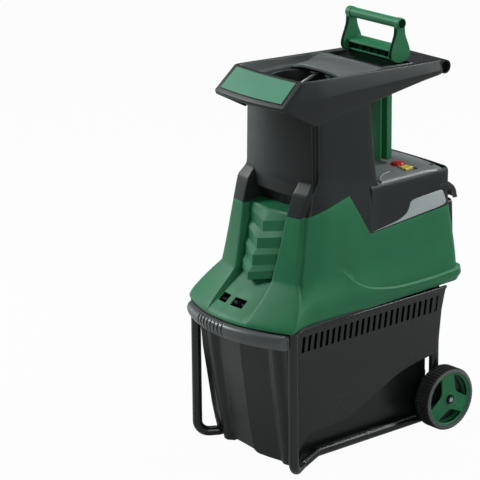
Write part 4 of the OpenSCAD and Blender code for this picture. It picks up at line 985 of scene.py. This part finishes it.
def collection_box():
    """Black box under the housing: pillared front, leaning slots, hollowed lower sides and rear wings."""
    side_y = [SLOT_FIRST + SLOT_STEP * k + d for k in range(SLOT_COUNT) for d in (0, SLOT_WIDE)]
    low_share = [0, 0.03, 0.2, 0.45, 0.7, 0.9, 1.0]
    high_z = [SLOT_LOW - 60, SLOT_LOW, SLOT_HIGH, 349, 350.5, 352, 356.5, BOX_TOP]
    rim = {350.5: 0.8, 352: 2.2, 356.5: 2.4, BOX_TOP: 1.2}
    n_face, n_knee = len(FRONT_RELIEF), 7
    first_side, first_slot = n_face + 3, n_face + n_knee
    last_slot = first_slot + len(side_y)

    def outline(z, sign):
        half, front, rear_half, rear = straight_through(z, BOX)
        face = [np.array(bowed(s, half, front, BOX_BOW)) + (0, back) for s, back, _, _ in FRONT_RELIEF]
        lean = SLOT_LEAN * float(np.clip((z - SLOT_LOW) / (SLOT_HIGH - SLOT_LOW), 0, 1))
        length = rear + BOX_SIDE_FROM
        side = [(half + (rear_half - half) * (y + BOX_SIDE_FROM) / length, y + lean) for y in side_y]
        knee = corner(face[-1], (half, -front + 4), side[0], 11, n_knee - 1)
        outer, inner_x = (rear_half, rear), rear_half - WING_WIDE
        wing = corner(side[-1], outer, (inner_x, rear), WING_ROUND, 4)
        wing += corner(outer, (inner_x, rear), (inner_x, BOX_BACK), WING_ROUND, 4)
        back = corner(wing[-1], (inner_x, BOX_BACK + 1), (BOX_BACK_HALF, BOX_BACK), 2, 3)
        back += [(BOX_BACK_HALF, BOX_BACK), (60, BOX_BACK), (0, BOX_BACK)]
        return np.array(face + knee + side + wing + back, float) * (sign, 1)

    def hollowed(j, p):
        """A point of the side drawn in to clear the wheels."""
        if j < first_side:
            return p
        held = HOLLOW_HALF + 12 * smooth((-150 - p[1]) / 60)
        return np.array([np.sign(p[0]) * min(abs(p[0]), held), min(p[1], BOX_BACK)])

    slot_row = len(low_share) + 2 + high_z.index(SLOT_LOW)

    def keep(i, j):
        return not (i == slot_row and first_slot <= j < last_slot and (j - first_slot) % 2 == 0)

    halves = []
    for sign in (1, -1):
        floors, edges = [], []
        for j, p in enumerate(outline(BOX_MIDDLE, sign)):
            rear_floor = 16 + 12 * smooth((p[1] - 170) / 60)
            floors.append(FRONT_RELIEF[j][3 if sign > 0 else 2] if j < n_face else rear_floor)
            edges.append(float(curve_through(p[1], HOLLOW)[0]) if j >= first_side else HOLLOW_FRONT)
        columns = len(edges)
        rows = []
        for share in low_share:
            heights = [low + share * (edge - low) for low, edge in zip(floors, edges)]
            rows.append([(*hollowed(j, outline(z, sign)[j]), z) for j, z in enumerate(heights)])
        for up, share in ((1.5, 0.75), (4.0, 1.0)):
            row = []
            for j, edge in enumerate(edges):
                p = outline(edge + up, sign)[j]
                held = hollowed(j, p)
                row.append((*(held + share * (p - held)), edge + up))
            rows.append(row)
        for z in high_z:
            row = []
            for j, (x, y) in enumerate(outline(z, sign)):
                out = rim.get(z, 0.0) if n_face <= j < last_slot + 2 else 0.0
                row.append((x + sign * out * smooth((abs(x) - 120) / 30), y, z))
            rows.append(row)
        points = [p for row in rows for p in row]
        base = len(points)
        points += [(p[0] * 0.93, p[1] * 0.96, BOX_FLOOR) for p in rows[0]] + [(0, 0, BOX_FLOOR)]
        faces = grid_faces(len(rows), columns, keep=keep)
        faces += [(j, base + j, base + j + 1, j + 1) for j in range(columns - 1)]
        faces += [(base + j, base + columns, base + j + 1) for j in range(columns - 1)]
        halves.append((points, faces))
    piece("collection_bin", joined(*halves), "black_plastic", ["collection_box"], body="box", angle=38,
          thick=2.0)


# Half length, depth at the ends, bow and the half width that the bow runs over
BAND_HALF, BAND_FRONT, BAND_BOW, BAND_REACH = 177, 272, 54, 186
# Where its back ends: at the box between the legs, and in front of the legs outside that
BAND_INNER, BAND_REAR, BAND_REAR_OUTER = 150.2, -248, -261.5
GROOVE_FIRST, GROOVE_STEP, GROOVE_COUNT, GROOVE_DEEP = -92, 14.0, 8, 3.4


def box_grip_band():
    """Rounded grip along the box's front, with grooves for the fingers on the left."""
    grooves = [GROOVE_FIRST + GROOVE_STEP * k for k in range(GROOVE_COUNT)]
    cuts = {}
    for g in grooves:
        cuts.update({g: 0.0, g + 1.2: 1.0, g + 5.6: 1.0, g + 6.8: 0.0})
    plain = [x for x in np.linspace(-170, 170, 47) if not grooves[0] - 3 < x < grooves[-1] + 9]
    xs = sorted(list(cuts) + plain + [-BAND_HALF, -176, -174, -150.5, 150.5, 150, 174, 176, BAND_HALF])
    # Distance behind the front line, height and share of the groove's depth
    profile = [(60, 357.5, 0), (19, 358.8, 0), (12, 358.4, 0.5), (6, 356, 1), (2, 351.5, 1), (0, 345, 1),
               (1, 337, 0.9), (4.5, 329, 0.5), (10, 322.5, 0), (15, 320, 0), (17, 322, 0), (15, 329, 0),
               (13, 339, 0), (13, 348, 0), (60, 349, 0)]
    rings = []
    for x in xs:
        front = -(BAND_FRONT + BAND_BOW * (1 - (x / BAND_REACH) ** 2))
        end = 4 * smooth((abs(x) - 172) / 5)
        limit = BAND_REAR if abs(x) <= BAND_INNER else BAND_REAR_OUTER
        ring = []
        for back, z, share in profile:
            groove = GROOVE_DEEP * share * cuts.get(x, 0.0)
            y = front + back + end * (1 if back < 6 else 0) + groove
            ring.append((x, min(y, limit), z - end * (1 if z > 345 else -1)))
        rings.append(ring)
    piece("box_grip", lofted(rings), "charcoal_plastic", ["box_grip_band"], body="box", finish=BAND, angle=38)


# Frame and wheels

TUBE_R, TUBE_BEND = 12, 30


def frame_tubes():
    """Two bent tubes, each with a front leg, a foot, a floor rail and a rear leg."""
    route = [(178, -247, 364), (178, -247, 12.1), (149.5, -197.6, 12.1), (140, -142, 27), (140, 246, 27),
             (140, 246, 364)]
    right = swept(route, TUBE_R, TUBE_BEND, 24, 9)
    for side, part in (("right", right), ("left", mirrored(right))):
        piece("bent_tube_" + side, part, "black_tube", ["frame_tube_" + side], angle=60)


TYRE_HALF = 23
TREAD_BLOCKS, TREAD_DEEP = 54, 2.2


def tyre(side):
    """Solid tyre with cross-cut tread blocks, two grooves round it and rounded shoulders."""
    low, high = node_box("tyre_" + side)
    middle = (low[0] + high[0]) / 2
    r = WHEEL_R
    wall = [(TYRE_HALF - 2, 67.2), (TYRE_HALF, 68.6), (TYRE_HALF, r - 7), (TYRE_HALF - 1.2, r - 3.2),
            (TYRE_HALF - 2.6, r - 1), (TYRE_HALF - 5, r), (9, r), (8, r - 2.6), (6, r - 2.6), (5, r)]
    profile = [(middle - x, rad) for x, rad in wall] + [(middle + x, rad) for x, rad in wall[::-1]]

    def wave(k, i):
        cut = k % 5 in (3, 4) and 4 <= i <= len(profile) - 5 and profile[i][1] > r - 2
        return TREAD_DEEP if cut else 0.0

    tread = turned(profile, WHEEL_CENTRE, TREAD_BLOCKS * 5, wave)
    piece("tyre_tread_" + side, tread, "tyre", ["tyre_" + side], body="wheel_" + side, angle=30)


def hub(side, sign):
    """Green wheel disc with three lens-shaped windows, a rolled rim and a boss round the axle's end."""
    low, high = node_box("wheel_" + side)
    inner, outer = (low[0], high[0]) if sign > 0 else (high[0], low[0])
    web = outer - sign * 5
    steps, windows_turn = 120, 34
    outer_arc, inner_arch, spread = 61.0, 28.5, 40.0

    def off_window(step):
        return (360 * step / steps + 60) % 120 - 60

    points = []
    for k in range(steps):
        lens = max(0.0, 1 - (off_window(k) / spread) ** 2) ** 0.75
        near = outer_arc - 0.02 - (outer_arc - inner_arch) * lens
        ring = [(15, 4.5), (17, 3), (near * 0.45 + 17 * 0.55, 2.6), (near - 2.5, 2.6), (near, 1.4),
                (outer_arc, 1.4), (62.5, 2.8), (64.5, 4.2), (66.4, 4.6), (67.8, 3.6)]
        a = math.radians(360 * k / steps + windows_turn)
        points += [(web + sign * out, WHEEL_CENTRE[0] + r * math.cos(a), WHEEL_CENTRE[1] + r * math.sin(a))
                   for r, out in ring]

    def keep(k, i):
        return i != 4 or abs(off_window(k + 0.5)) >= spread

    body = "wheel_" + side
    disc = points, turned_faces(steps, len(ring), keep)
    piece("wheel_disc_" + side, disc, "green_plastic", ["wheel_" + side], body=body, angle=30, thick=5.0,
          bevel=0.8)
    back = turned([(web - sign * 14, 58), (web - sign * 16, 57), (web - sign * 16, 16)], WHEEL_CENTRE, 72)
    piece("wheel_well_" + side, back, "green_plastic", body=body, finish=FINISH["black_plastic"], angle=30,
          thick=1.5)
    boss = [(inner, 12.5), (inner, 16), (outer - sign * 2.5, 17), (outer - sign * 0.8, 16.2), (outer, 14.8),
            (outer, 12.5), (outer - sign * 3, 12), (outer - sign * 3, 6.2)]
    rim = [(inner + sign * 2, 67), (inner + sign * 2, 58), (inner + sign * 4, 57.5), (web - sign * 3, 60)]
    parts = [turned(boss, WHEEL_CENTRE, 48), turned(rim, WHEEL_CENTRE, 96)]
    for k in range(9):
        a = math.radians(windows_turn + 60 + (k // 3) * 120 + (k % 3 - 1) * 15)
        d, e = np.array([math.cos(a), math.sin(a)]), np.array([-math.sin(a), math.cos(a)])
        rib = [np.array(WHEEL_CENTRE) + d * r + e * w for r, w in ((15, -1.2), (60, -1), (60, 1), (15, 1.2))]
        parts.append(prism(rib, inner + sign * 4, web - sign, across_x))
    piece("wheel_boss_" + side, joined(*parts), "green_plastic", body=body, angle=30)


# Hopper and what stands in it

RIM_SLOPE = -0.05
THROAT = (0.0, -63.0)
BOWL_FLOOR = 905
HOPPER_X = [0, 0.14, 0.28, 0.42, 0.56, 0.7, 0.82, 0.92]
HOPPER_Y = [-60, -20, 20, 60, 100, 140, 180, 220]
HOPPER_REAR = 287
# Half width, depth and bow of the lip and of the rim at the front
LIP, RIM = (126, 225, 13), (122, 165, 8)
BIB_LOW, BIB_HIGH = 885, 937.5
GUIDE_X = 25.5


def hopper_ring(front_half, front, bow, shoulder_half, shoulder_y, rear_half, rear, height, slope, setback):
    """A closed ring of the hopper: bowed front, rounded corners, a shoulder on each side, rounded back."""
    face = [bowed(s, front_half, front, bow) for s in HOPPER_X]
    lean = rear_half - shoulder_half
    side = [(shoulder_half + lean * (y - shoulder_y) / (rear - shoulder_y), y) for y in HOPPER_Y]
    half = face + corner(face[-1], (front_half, -front), (shoulder_half, shoulder_y), setback, 5)
    half += corner((front_half, -front), (shoulder_half, shoulder_y), side[0], 20, 4)
    half += side + corner(side[-1], (rear_half, rear), (rear_half * 0.7, rear), 22, 6)
    half += [(rear_half * t, rear) for t in (0.6, 0.3, 0.0)]
    half = np.array(half, float)
    loop = np.vstack([half[::-1] * (-1, 1), half[1:]])
    return np.array([(x, y, height + slope * y) for x, y in loop])


def hopper_tray():
    """Dark hopper: undercut sides, a rolled lip and rim, a sloping bowl and a collar round the throat."""
    tuck = hopper_ring(116, 112, 14, 117, -80, 116, HOPPER_REAR - 30, 851, 0.139, 10)
    under = hopper_ring(126, 129, 15, 127.5, -95, 124.5, HOPPER_REAR - 4, 844, 0.139, 12)
    lip = hopper_ring(*LIP, 132, -114, 129, HOPPER_REAR, 891, 0.004, 22)
    rim = hopper_ring(*RIM, 123.5, -110, 121, HOPPER_REAR - 2, 929, RIM_SLOPE, 24)
    brim = hopper_ring(115, 159, 8, 116.5, -104, 114, HOPPER_REAR - 18, 928.5, RIM_SLOPE, 18)
    bowl = hopper_ring(101, 141, 8, 103, -94, 103, HOPPER_REAR - 32, BOWL_FLOOR + 1, 0.0, 22)
    for p in (*tuck, *under):
        flat = smooth((120 - abs(p[0])) / 8) * smooth((-100 - p[1]) / 12)
        p[2] += flat * (873 - p[2])
    for p in lip:
        p[2] -= 6 * smooth((-114 - p[1]) / 70)
    low_lip = lip * (0.99, 0.99, 1) - (0, 0, 9)
    stops = [tuck, under, low_lip, lip, rim, brim, bowl]
    x, y = THROAT
    angle = [math.atan2(p[1] - y, p[0] - x) for p in bowl]
    for r, up in ((85, 0), (81, 5), (77, 4), (75, -30)):
        stops.append([(x + r * math.cos(a), y + r * math.sin(a), BOWL_FLOOR + up) for a in angle])
    setback = [0, 5, 3, 3, 4, 4, 12, 2, 2, 2, 0]
    profiles = [rounded([ring[j] for ring in stops], setback, 4, closed=False) for j in range(len(rim))]
    rows = list(zip(*profiles))
    points = [p for row in rows for p in row]
    piece("hopper_moulding", (points, grid_faces(len(rows), len(rim))), "charcoal_plastic", ["hopper_tray"],
          angle=34)


def bib_point(share_x, share_up, lift):
    """Point on the hopper's sloping front, from left to right and from the lip up to the rim."""
    low = np.array([*bowed(share_x, *LIP), BIB_LOW])
    high = np.array([*bowed(share_x, *RIM), BIB_HIGH])
    rise, run = BIB_HIGH - BIB_LOW, LIP[1] - RIM[1]
    out = np.array([0.0, -rise, run]) / math.hypot(rise, run)
    return low + (high - low) * share_up + out * lift


def front_plate_and_shadow_gap():
    """Bare green plate on the hopper's front, in a paler green that paints in its sheen, inside a slim black
    border that paints the shadow gap round it.
    """
    rows, columns = 9, 25
    points = [bib_point(0.855 * x, y, 0.9) for y in np.linspace(0.15, 0.93, rows)
              for x in np.linspace(-1, 1, columns)]
    # Paler green here is painted sheen on the plate
    piece("bare_plate", (points, grid_faces(rows, columns)), "green_plastic", ["hopper_front_plate"],
          finish=PLATE_GREEN_WITH_SHEEN, thick=1.4, bevel=0.4)
    # The black border is painted shade for the gap round the plate
    outline = rectangle(-0.872, 0.872, 0.125, 0.955)
    border = []
    for a, b in zip(outline, outline[1:] + outline[:1]):
        count = 24 if abs(a[0] - b[0]) > 0.1 else 6
        border += [(a[0] + (b[0] - a[0]) * t, a[1] + (b[1] - a[1]) * t)
                   for t in np.linspace(0, 1, count, endpoint=False)]
    rings = [[bib_point(x * (1 - s), 0.5 + (y - 0.5) * (1 - 2.2 * s), h) for x, y in border]
             for h, s in ((-1.0, 0.0), (0.9, 0.0), (1.1, 0.004), (0.9, 0.014), (0.1, 0.016))]
    piece("plate_shadow_gap", lofted(rings, start=False, end=False), "charcoal_plastic", finish=LINING_AND_GAP_SHADE,
          angle=40)


def plate_height(y):
    return 927.2 + RIM_SLOPE * y


def throat_hood():
    """Grey arched hood over the rear of the throat, rolled at its front edge and flat at the rear plate."""
    half = 104
    xs = np.linspace(-half, half, 33)
    # Place along Y and lift in the middle
    rows = [(-24, -8), (-24.5, -3), (-23, -0.5), (-19, 0), (-5, 1.5), (15, 2.2), (40, 1.8), (65, 1.0),
            (85, 0.6), (98, 0.3), (104, -12)]
    points = []
    for y, up in rows:
        for x in xs:
            q = abs(x) / half
            arch = BOWL_FLOOR + 24 * (1 - q ** 2.6)
            z = arch + (plate_height(101) - arch) * smooth((y - 5) / 90) + up * (1 - q ** 6)
            points.append((x, y + 16 * q * q * smooth((70 - y) / 60), max(z, BOWL_FLOOR - 3)))
    piece("throat_arch", (points, grid_faces(len(rows), len(xs))), "grey_plastic", ["throat_hood"], angle=40,
          thick=2.5)


def throat_guides():
    """Two guide ribs with flat heads, sloping from the throat's rear edge down into it; their pale grey is a
    painted highlight for the glints inside the throat.
    """
    parts = []
    for x in (GUIDE_X, -GUIDE_X):
        slope = [(12, BOWL_FLOOR + 1), (-44, BOWL_FLOOR - 17), (-44, BOWL_FLOOR - 23), (12, BOWL_FLOOR - 5)]
        head = [(-3, BOWL_FLOOR - 1), (-3, BOWL_FLOOR + 2.5), (9, BOWL_FLOOR + 3.5), (9, BOWL_FLOOR - 1)]
        parts += [prism(slope, x - 3, x + 3, across_x), prism(head, x - 9, x + 9, across_x)]
    # Pale grey here is painted highlight on the guides
    piece("throat_guides", joined(*parts), "grey_plastic", finish=PALE_PANEL, angle=30, bevel=0.8)


# Half width, near and far edge of the pocket and of the slot in its floor, and the height of that floor
POCKET, BLADE_SLOT = (97, 106, 200), (53, 144, 187)
SEAT = 911.8


def rear_plate():
    """Dark plate at the back of the hopper, with the plunger's pocket and its blade's slot."""
    half, near, far = POCKET
    slot, slot_near, slot_far = BLADE_SLOT
    foot = SEAT - 24
    outer = rounded([(-114, 101), (114, 101), (113, 266), (-113, 266)], 5, 4)
    hole = rounded(rectangle(-half, half, near, far), 5, 4)
    border = rounded(rectangle(-half - 4, half + 4, near - 3, far + 5), 6, 4)

    def ring(outline, lift, wide=1.0, deep=1.0, middle=153):
        return [(x * wide, middle + (y - middle) * deep, plate_height(y) + lift) for x, y in outline]

    rings = [[(x, y, BOWL_FLOOR - 4) for x, y in outer], ring(outer, -1.2), ring(outer, 0, 0.99, 0.99, 183),
             ring(border, 0, 1.015, 1.03), ring(border, 1.6), ring(hole, 1.8, 1.01, 1.01), ring(hole, 0.6),
             [(x, y, SEAT) for x, y in hole]]
    seats = [slab(slot, half, slot_near, far, SEAT - 3, SEAT),
             slab(-half, -slot, slot_near, far, SEAT - 3, SEAT),
             slab(-slot, slot, slot_far, far, SEAT - 3, SEAT),
             slab(-half, half, near, slot_near - 1, foot, foot + 2),
             slab(-half, half, slot_near - 2, slot_near, foot, SEAT),
             slab(-half, half, near - 1, near, foot, SEAT)]
    piece("pocket_plate", joined(lofted(rings, start=False, end=False), *seats), "charcoal_plastic", angle=35)


# Plunger

GRIP_Y, GRIP_Z, GRIP_R = 174, 1016, 12.2
SHELF_LOW, SHELF_TOP = 929, 955
SHELF_HALF, SHELF_NEAR, SHELF_FAR = 84, 154, 194


def end_plate(grow):
    """Teardrop outline of an end plate as (y, z): round at the grip, waisted under it, wide at its foot."""
    # Height with its sign turned, so that it rises down the plate, and half width
    keys = [(-1016, 13.6), (-1004, 12.8), (-992, 13.6), (-978, 18), (-962, 25), (-948, 29.6), (-940, 30.5)]
    flank = [(float(curve_through(-z, keys)[0]) + grow, z) for z in np.linspace(1012, 944, 12)]
    cap_r, foot_half, foot_deep, foot_z = 13.6 + grow, 30.2 + grow, 19 + grow, 940
    cap = [(cap_r * math.cos(a), GRIP_Z + cap_r * math.sin(a)) for a in np.linspace(math.pi, 0.1, 14)]
    foot = [(foot_half * math.cos(a), foot_z + foot_deep * math.sin(a)) for a in np.linspace(0, -math.pi, 15)]
    left = [(-y, z) for y, z in flank[::-1]]
    return np.array([(GRIP_Y + y, z) for y, z in cap + flank + foot + left])


def round_the_grip(profile):
    return turned(profile, (GRIP_Y, GRIP_Z), 40)


def plunger_grip():
    """Green handle: a hollow-fronted shelf, two teardrop end plates and a round bar between them."""
    outline = rounded(rectangle(-SHELF_HALF, SHELF_HALF, SHELF_NEAR, SHELF_FAR), 5, 4)
    rings = [[(x, y, SHELF_TOP - 8) for x, y in outline]]
    for wide, inward, drop in ((1, 0, 3), (0.99, 0.8, 0.8), (0.975, 2.5, 0)):
        rings.append([(x * wide, y + inward * np.sign(GRIP_Y - y), SHELF_TOP - drop + 0.12 * (y - GRIP_Y))
                      for x, y in outline])
    core = slab(-79, 79, SHELF_NEAR + 9, SHELF_FAR - 1, SHELF_LOW, SHELF_TOP - 7)
    sill = slab(-82, 82, SHELF_NEAR + 1, SHELF_FAR, SHELF_LOW, SHELF_LOW + 3.5)
    collar = [(88, 13.2), (92.6, 13.2), (93, 12.6), (93, 11), (90.4, 10.6)]
    collars = [round_the_grip([(sign * x, r) for x, r in collar]) for sign in (1, -1)]
    plates = [prism(end_plate(0), a, b, across_x) for a, b in ((78, 90), (-90, -78))]
    bar = round_the_grip([(-79, GRIP_R), (79, GRIP_R)])
    piece("plunger_grip", joined(lofted(rings), core, sill, *plates, *collars, bar), "green_plastic",
          ["plunger_handle"], body="plunger", angle=35, bevel=1.6, steps=3)


def plunger_dark_and_shade_pieces():
    """Dark green pieces of the handle: discs in the bar's ends, and painted shade on the plates' front edges,
    in the shelf's hollow and round the blade's top under it.
    """
    insets = []
    for sign in (1, -1):
        insets.append(round_the_grip([(sign * 91.4, 10.9), (sign * 90.6, 10.6), (sign * 90.6, 0.01)]))
        # Painted shade: dark strips on the end plates' front edges
        front = [p for p in end_plate(0.7) if p[0] < GRIP_Y - 11.5 and 934 < p[1] < 1006]
        edge = front + [(p[0] + 3, p[1]) for p in front[::-1]]
        insets.append(prism(edge, sign * 80.2, sign * 87.8, across_x))
    # Painted shade: the shelf's hollow, its ribbed front and a neck round the blade's top
    near, low, top = SHELF_NEAR + 6.5, SHELF_LOW + 3, SHELF_TOP - 7.5
    insets += [slab(-78, 78, near, SHELF_FAR - 2, SEAT + 0.6, SHELF_LOW + 0.2),
               slab(-78, 78, near, near + 4, low, top), slab(-49, 49, 151, 183, SEAT - 8, SEAT + 1)]
    insets += [slab(x - 0.9, x + 0.9, near - 4, near + 1, low, top) for x in range(-52, 53, 26)]
    piece("plunger_dark_and_shade_pieces", joined(*insets), "green_plastic", body="plunger", finish=DARK_GREEN_AND_SHADE, angle=35)


def plunger_blade():
    """Green blade under the handle: a wide flute down its front and back, a deep channel down each edge."""
    low, high = node_box("plunger_blade")
    half, near, far = high[0], low[1], high[1]
    right = [(22, near + 9), (24, near), (half, near), (half, near + 4), (half - 18, near + 5),
             (half - 18, near + 21), (half, near + 22), (half, far), (24, far), (22, far - 9)]
    outline = right + [(-x, y) for x, y in right[::-1]]
    middle = (near + far) / 2
    ends = [(low[2], 0.94), (low[2] + 1.5, 0.985), (low[2] + 4, 1.0), (SEAT - 6, 1.0)]
    rings = [[(x * shrink, middle + (y - middle) * shrink, z) for x, y in outline] for z, shrink in ends]
    piece("plunger_flutes", lofted(rings), "green_plastic", ["plunger_blade"], body="plunger", angle=30,
          bevel=0.9)


for build in (lower_housing, louvre_panel, box_latch, tower_shell, rear_cover, control_deck, deck_ridge,
              side_insets, push_buttons, direction_rocker, deck_screws, base_pan, inlet_visor, rear_vent,
              collection_box, box_grip_band, frame_tubes, hopper_tray, front_plate_and_shadow_gap, throat_hood,
              throat_guides, rear_plate, plunger_grip, plunger_dark_and_shade_pieces, plunger_blade):
    build()
for side, sign in (("right", 1), ("left", -1)):
    tyre(side)
    hub(side, sign)


# CAD nodes that stay as they are

SPECIAL = {"axle_caps": DARK_SCREW, "feed_chute": LINING_AND_GAP_SHADE}
SOFT = {"handle_tube": 1.5, "adjust_knob": 1.2, "mains_inlet": 0.8, "switch_module": 0.8}
for subpart in frame["record"]["subparts"]:
    node = subpart["node"]
    obj = frame["nodes"][node]
    obj.data.materials.clear()
    obj.data.materials.append(SPECIAL.get(node, FINISH[subpart["material_slot"]]))
    if node in SOFT:
        soften(obj, SOFT[node])


# Floor, lamps and camera

MIDDLE = (0, 0, 0.55)
LAMP_COLOUR = (0.92, 1.0, 0.99)
EYE = (4.77615, -4.29119, 2.55111)
# Middle of the picture, the place in it that the lens is square to, and the focal length, all in pixels
MIDDLE_PX, AIM_PX, FOCAL_PX = 240, (324, 242), 2800


def studio_floor():
    """Wide pale floor: white to the camera where it is lit, darker where the machine shades it."""
    reach = 30
    mesh = bpy.data.meshes.new("studio_floor")
    mesh.from_pydata([(x, y, 0) for x, y in rectangle(-reach, reach, -reach, reach)], [], [(0, 1, 2, 3)])
    material, start = blank_material("studio_floor")
    dust = noise(start, 3.0, 3.0)
    grey = dust.mix(rgb(0.42, 0.42, 0.42), rgb(0.46, 0.46, 0.46))
    matt = start.node("ShaderNodeBsdfDiffuse", {}, {"Color": grey})
    glow = start.node("ShaderNodeEmission", {}, {"Color": rgb(1, 1, 1), "Strength": 1.0})
    seen = start.node("ShaderNodeLightPath", out=0) + 0.15 * start.node("ShaderNodeLightPath", out=3)
    both = start.node("ShaderNodeMixShader", {}, {0: seen * 0.965, 1: matt, 2: glow})
    show(start, both)
    mesh.materials.append(material)
    return add_object("studio_floor", mesh)


def lamp(name, place, aim, size, power):
    """Soft rectangular lamp at a place in metres, turned to a point."""
    light = bpy.data.lights.new(name, "AREA")
    light.shape = "RECTANGLE"
    light.size, light.size_y = size
    light.energy = power
    light.color = LAMP_COLOUR
    obj = add_object(name, light)
    way = Vector(aim) - Vector(place)
    obj.matrix_world = Matrix.Translation(place) @ way.to_track_quat("-Z", "Y").to_matrix().to_4x4()
    return obj


def studio_world():
    world = bpy.data.worlds.new("studio")
    world.use_nodes = True
    back = world.node_tree.nodes["Background"]
    back.inputs[0].default_value = (1, 1, 1, 1)
    back.inputs[1].default_value = 0.08
    scene.world = world


def studio_camera():
    """Camera at the place from which the machine was seen, looking a little to its right of the middle."""
    azimuth, height = math.radians(48), math.radians(17.8)
    level = math.cos(height)
    right = Vector((math.cos(azimuth), math.sin(azimuth), 0))
    ahead = Vector((-math.sin(azimuth) * level, math.cos(azimuth) * level, -math.sin(height)))
    up = right.cross(ahead)
    across, down = (MIDDLE_PX - AIM_PX[0]) / FOCAL_PX, (MIDDLE_PX - AIM_PX[1]) / FOCAL_PX
    ahead = (ahead + right * across - up * down).normalized()
    right = ahead.cross(up).normalized()
    up = right.cross(ahead)
    data = bpy.data.cameras.new("studio_camera")
    data.lens = 210
    data.sensor_width = 36
    data.clip_end = 100
    camera = add_object("studio_camera", data)
    turn = Matrix((right, up, -ahead)).transposed().to_4x4()
    camera.matrix_world = Matrix.Translation(EYE) @ turn
    scene.camera = camera
    return camera


studio_world()
studio_floor()
studio_camera()
lamp("key_lamp", (-3.2, -1.9, 2.9), MIDDLE, (1.5, 1.8), 135)
lamp("left_strip", (-1.9, -0.6, 0.4), (0, -0.2, 0.25), (0.9, 0.7), 3.2)
lamp("leg_strip", (2.3, -1.7, 0.4), (0.1, -0.2, 0.25), (0.12, 0.7), 4)
lamp("top_lamp", (-0.2, 0.3, 3.7), MIDDLE, (2.0, 2.0), 54)
lamp("side_lamp", (3.9, -1.4, 2.0), MIDDLE, (0.9, 2.0), 28)
lamp("rear_lamp", (0.3, 2.9, 2.9), (0.07, 0.2, 0.66), (0.8, 0.8), 60)
lamp("edge_lamp", (2.4, 3.0, 2.0), MIDDLE, (0.5, 2.2), 45)
scene.view_settings.view_transform = "Standard"
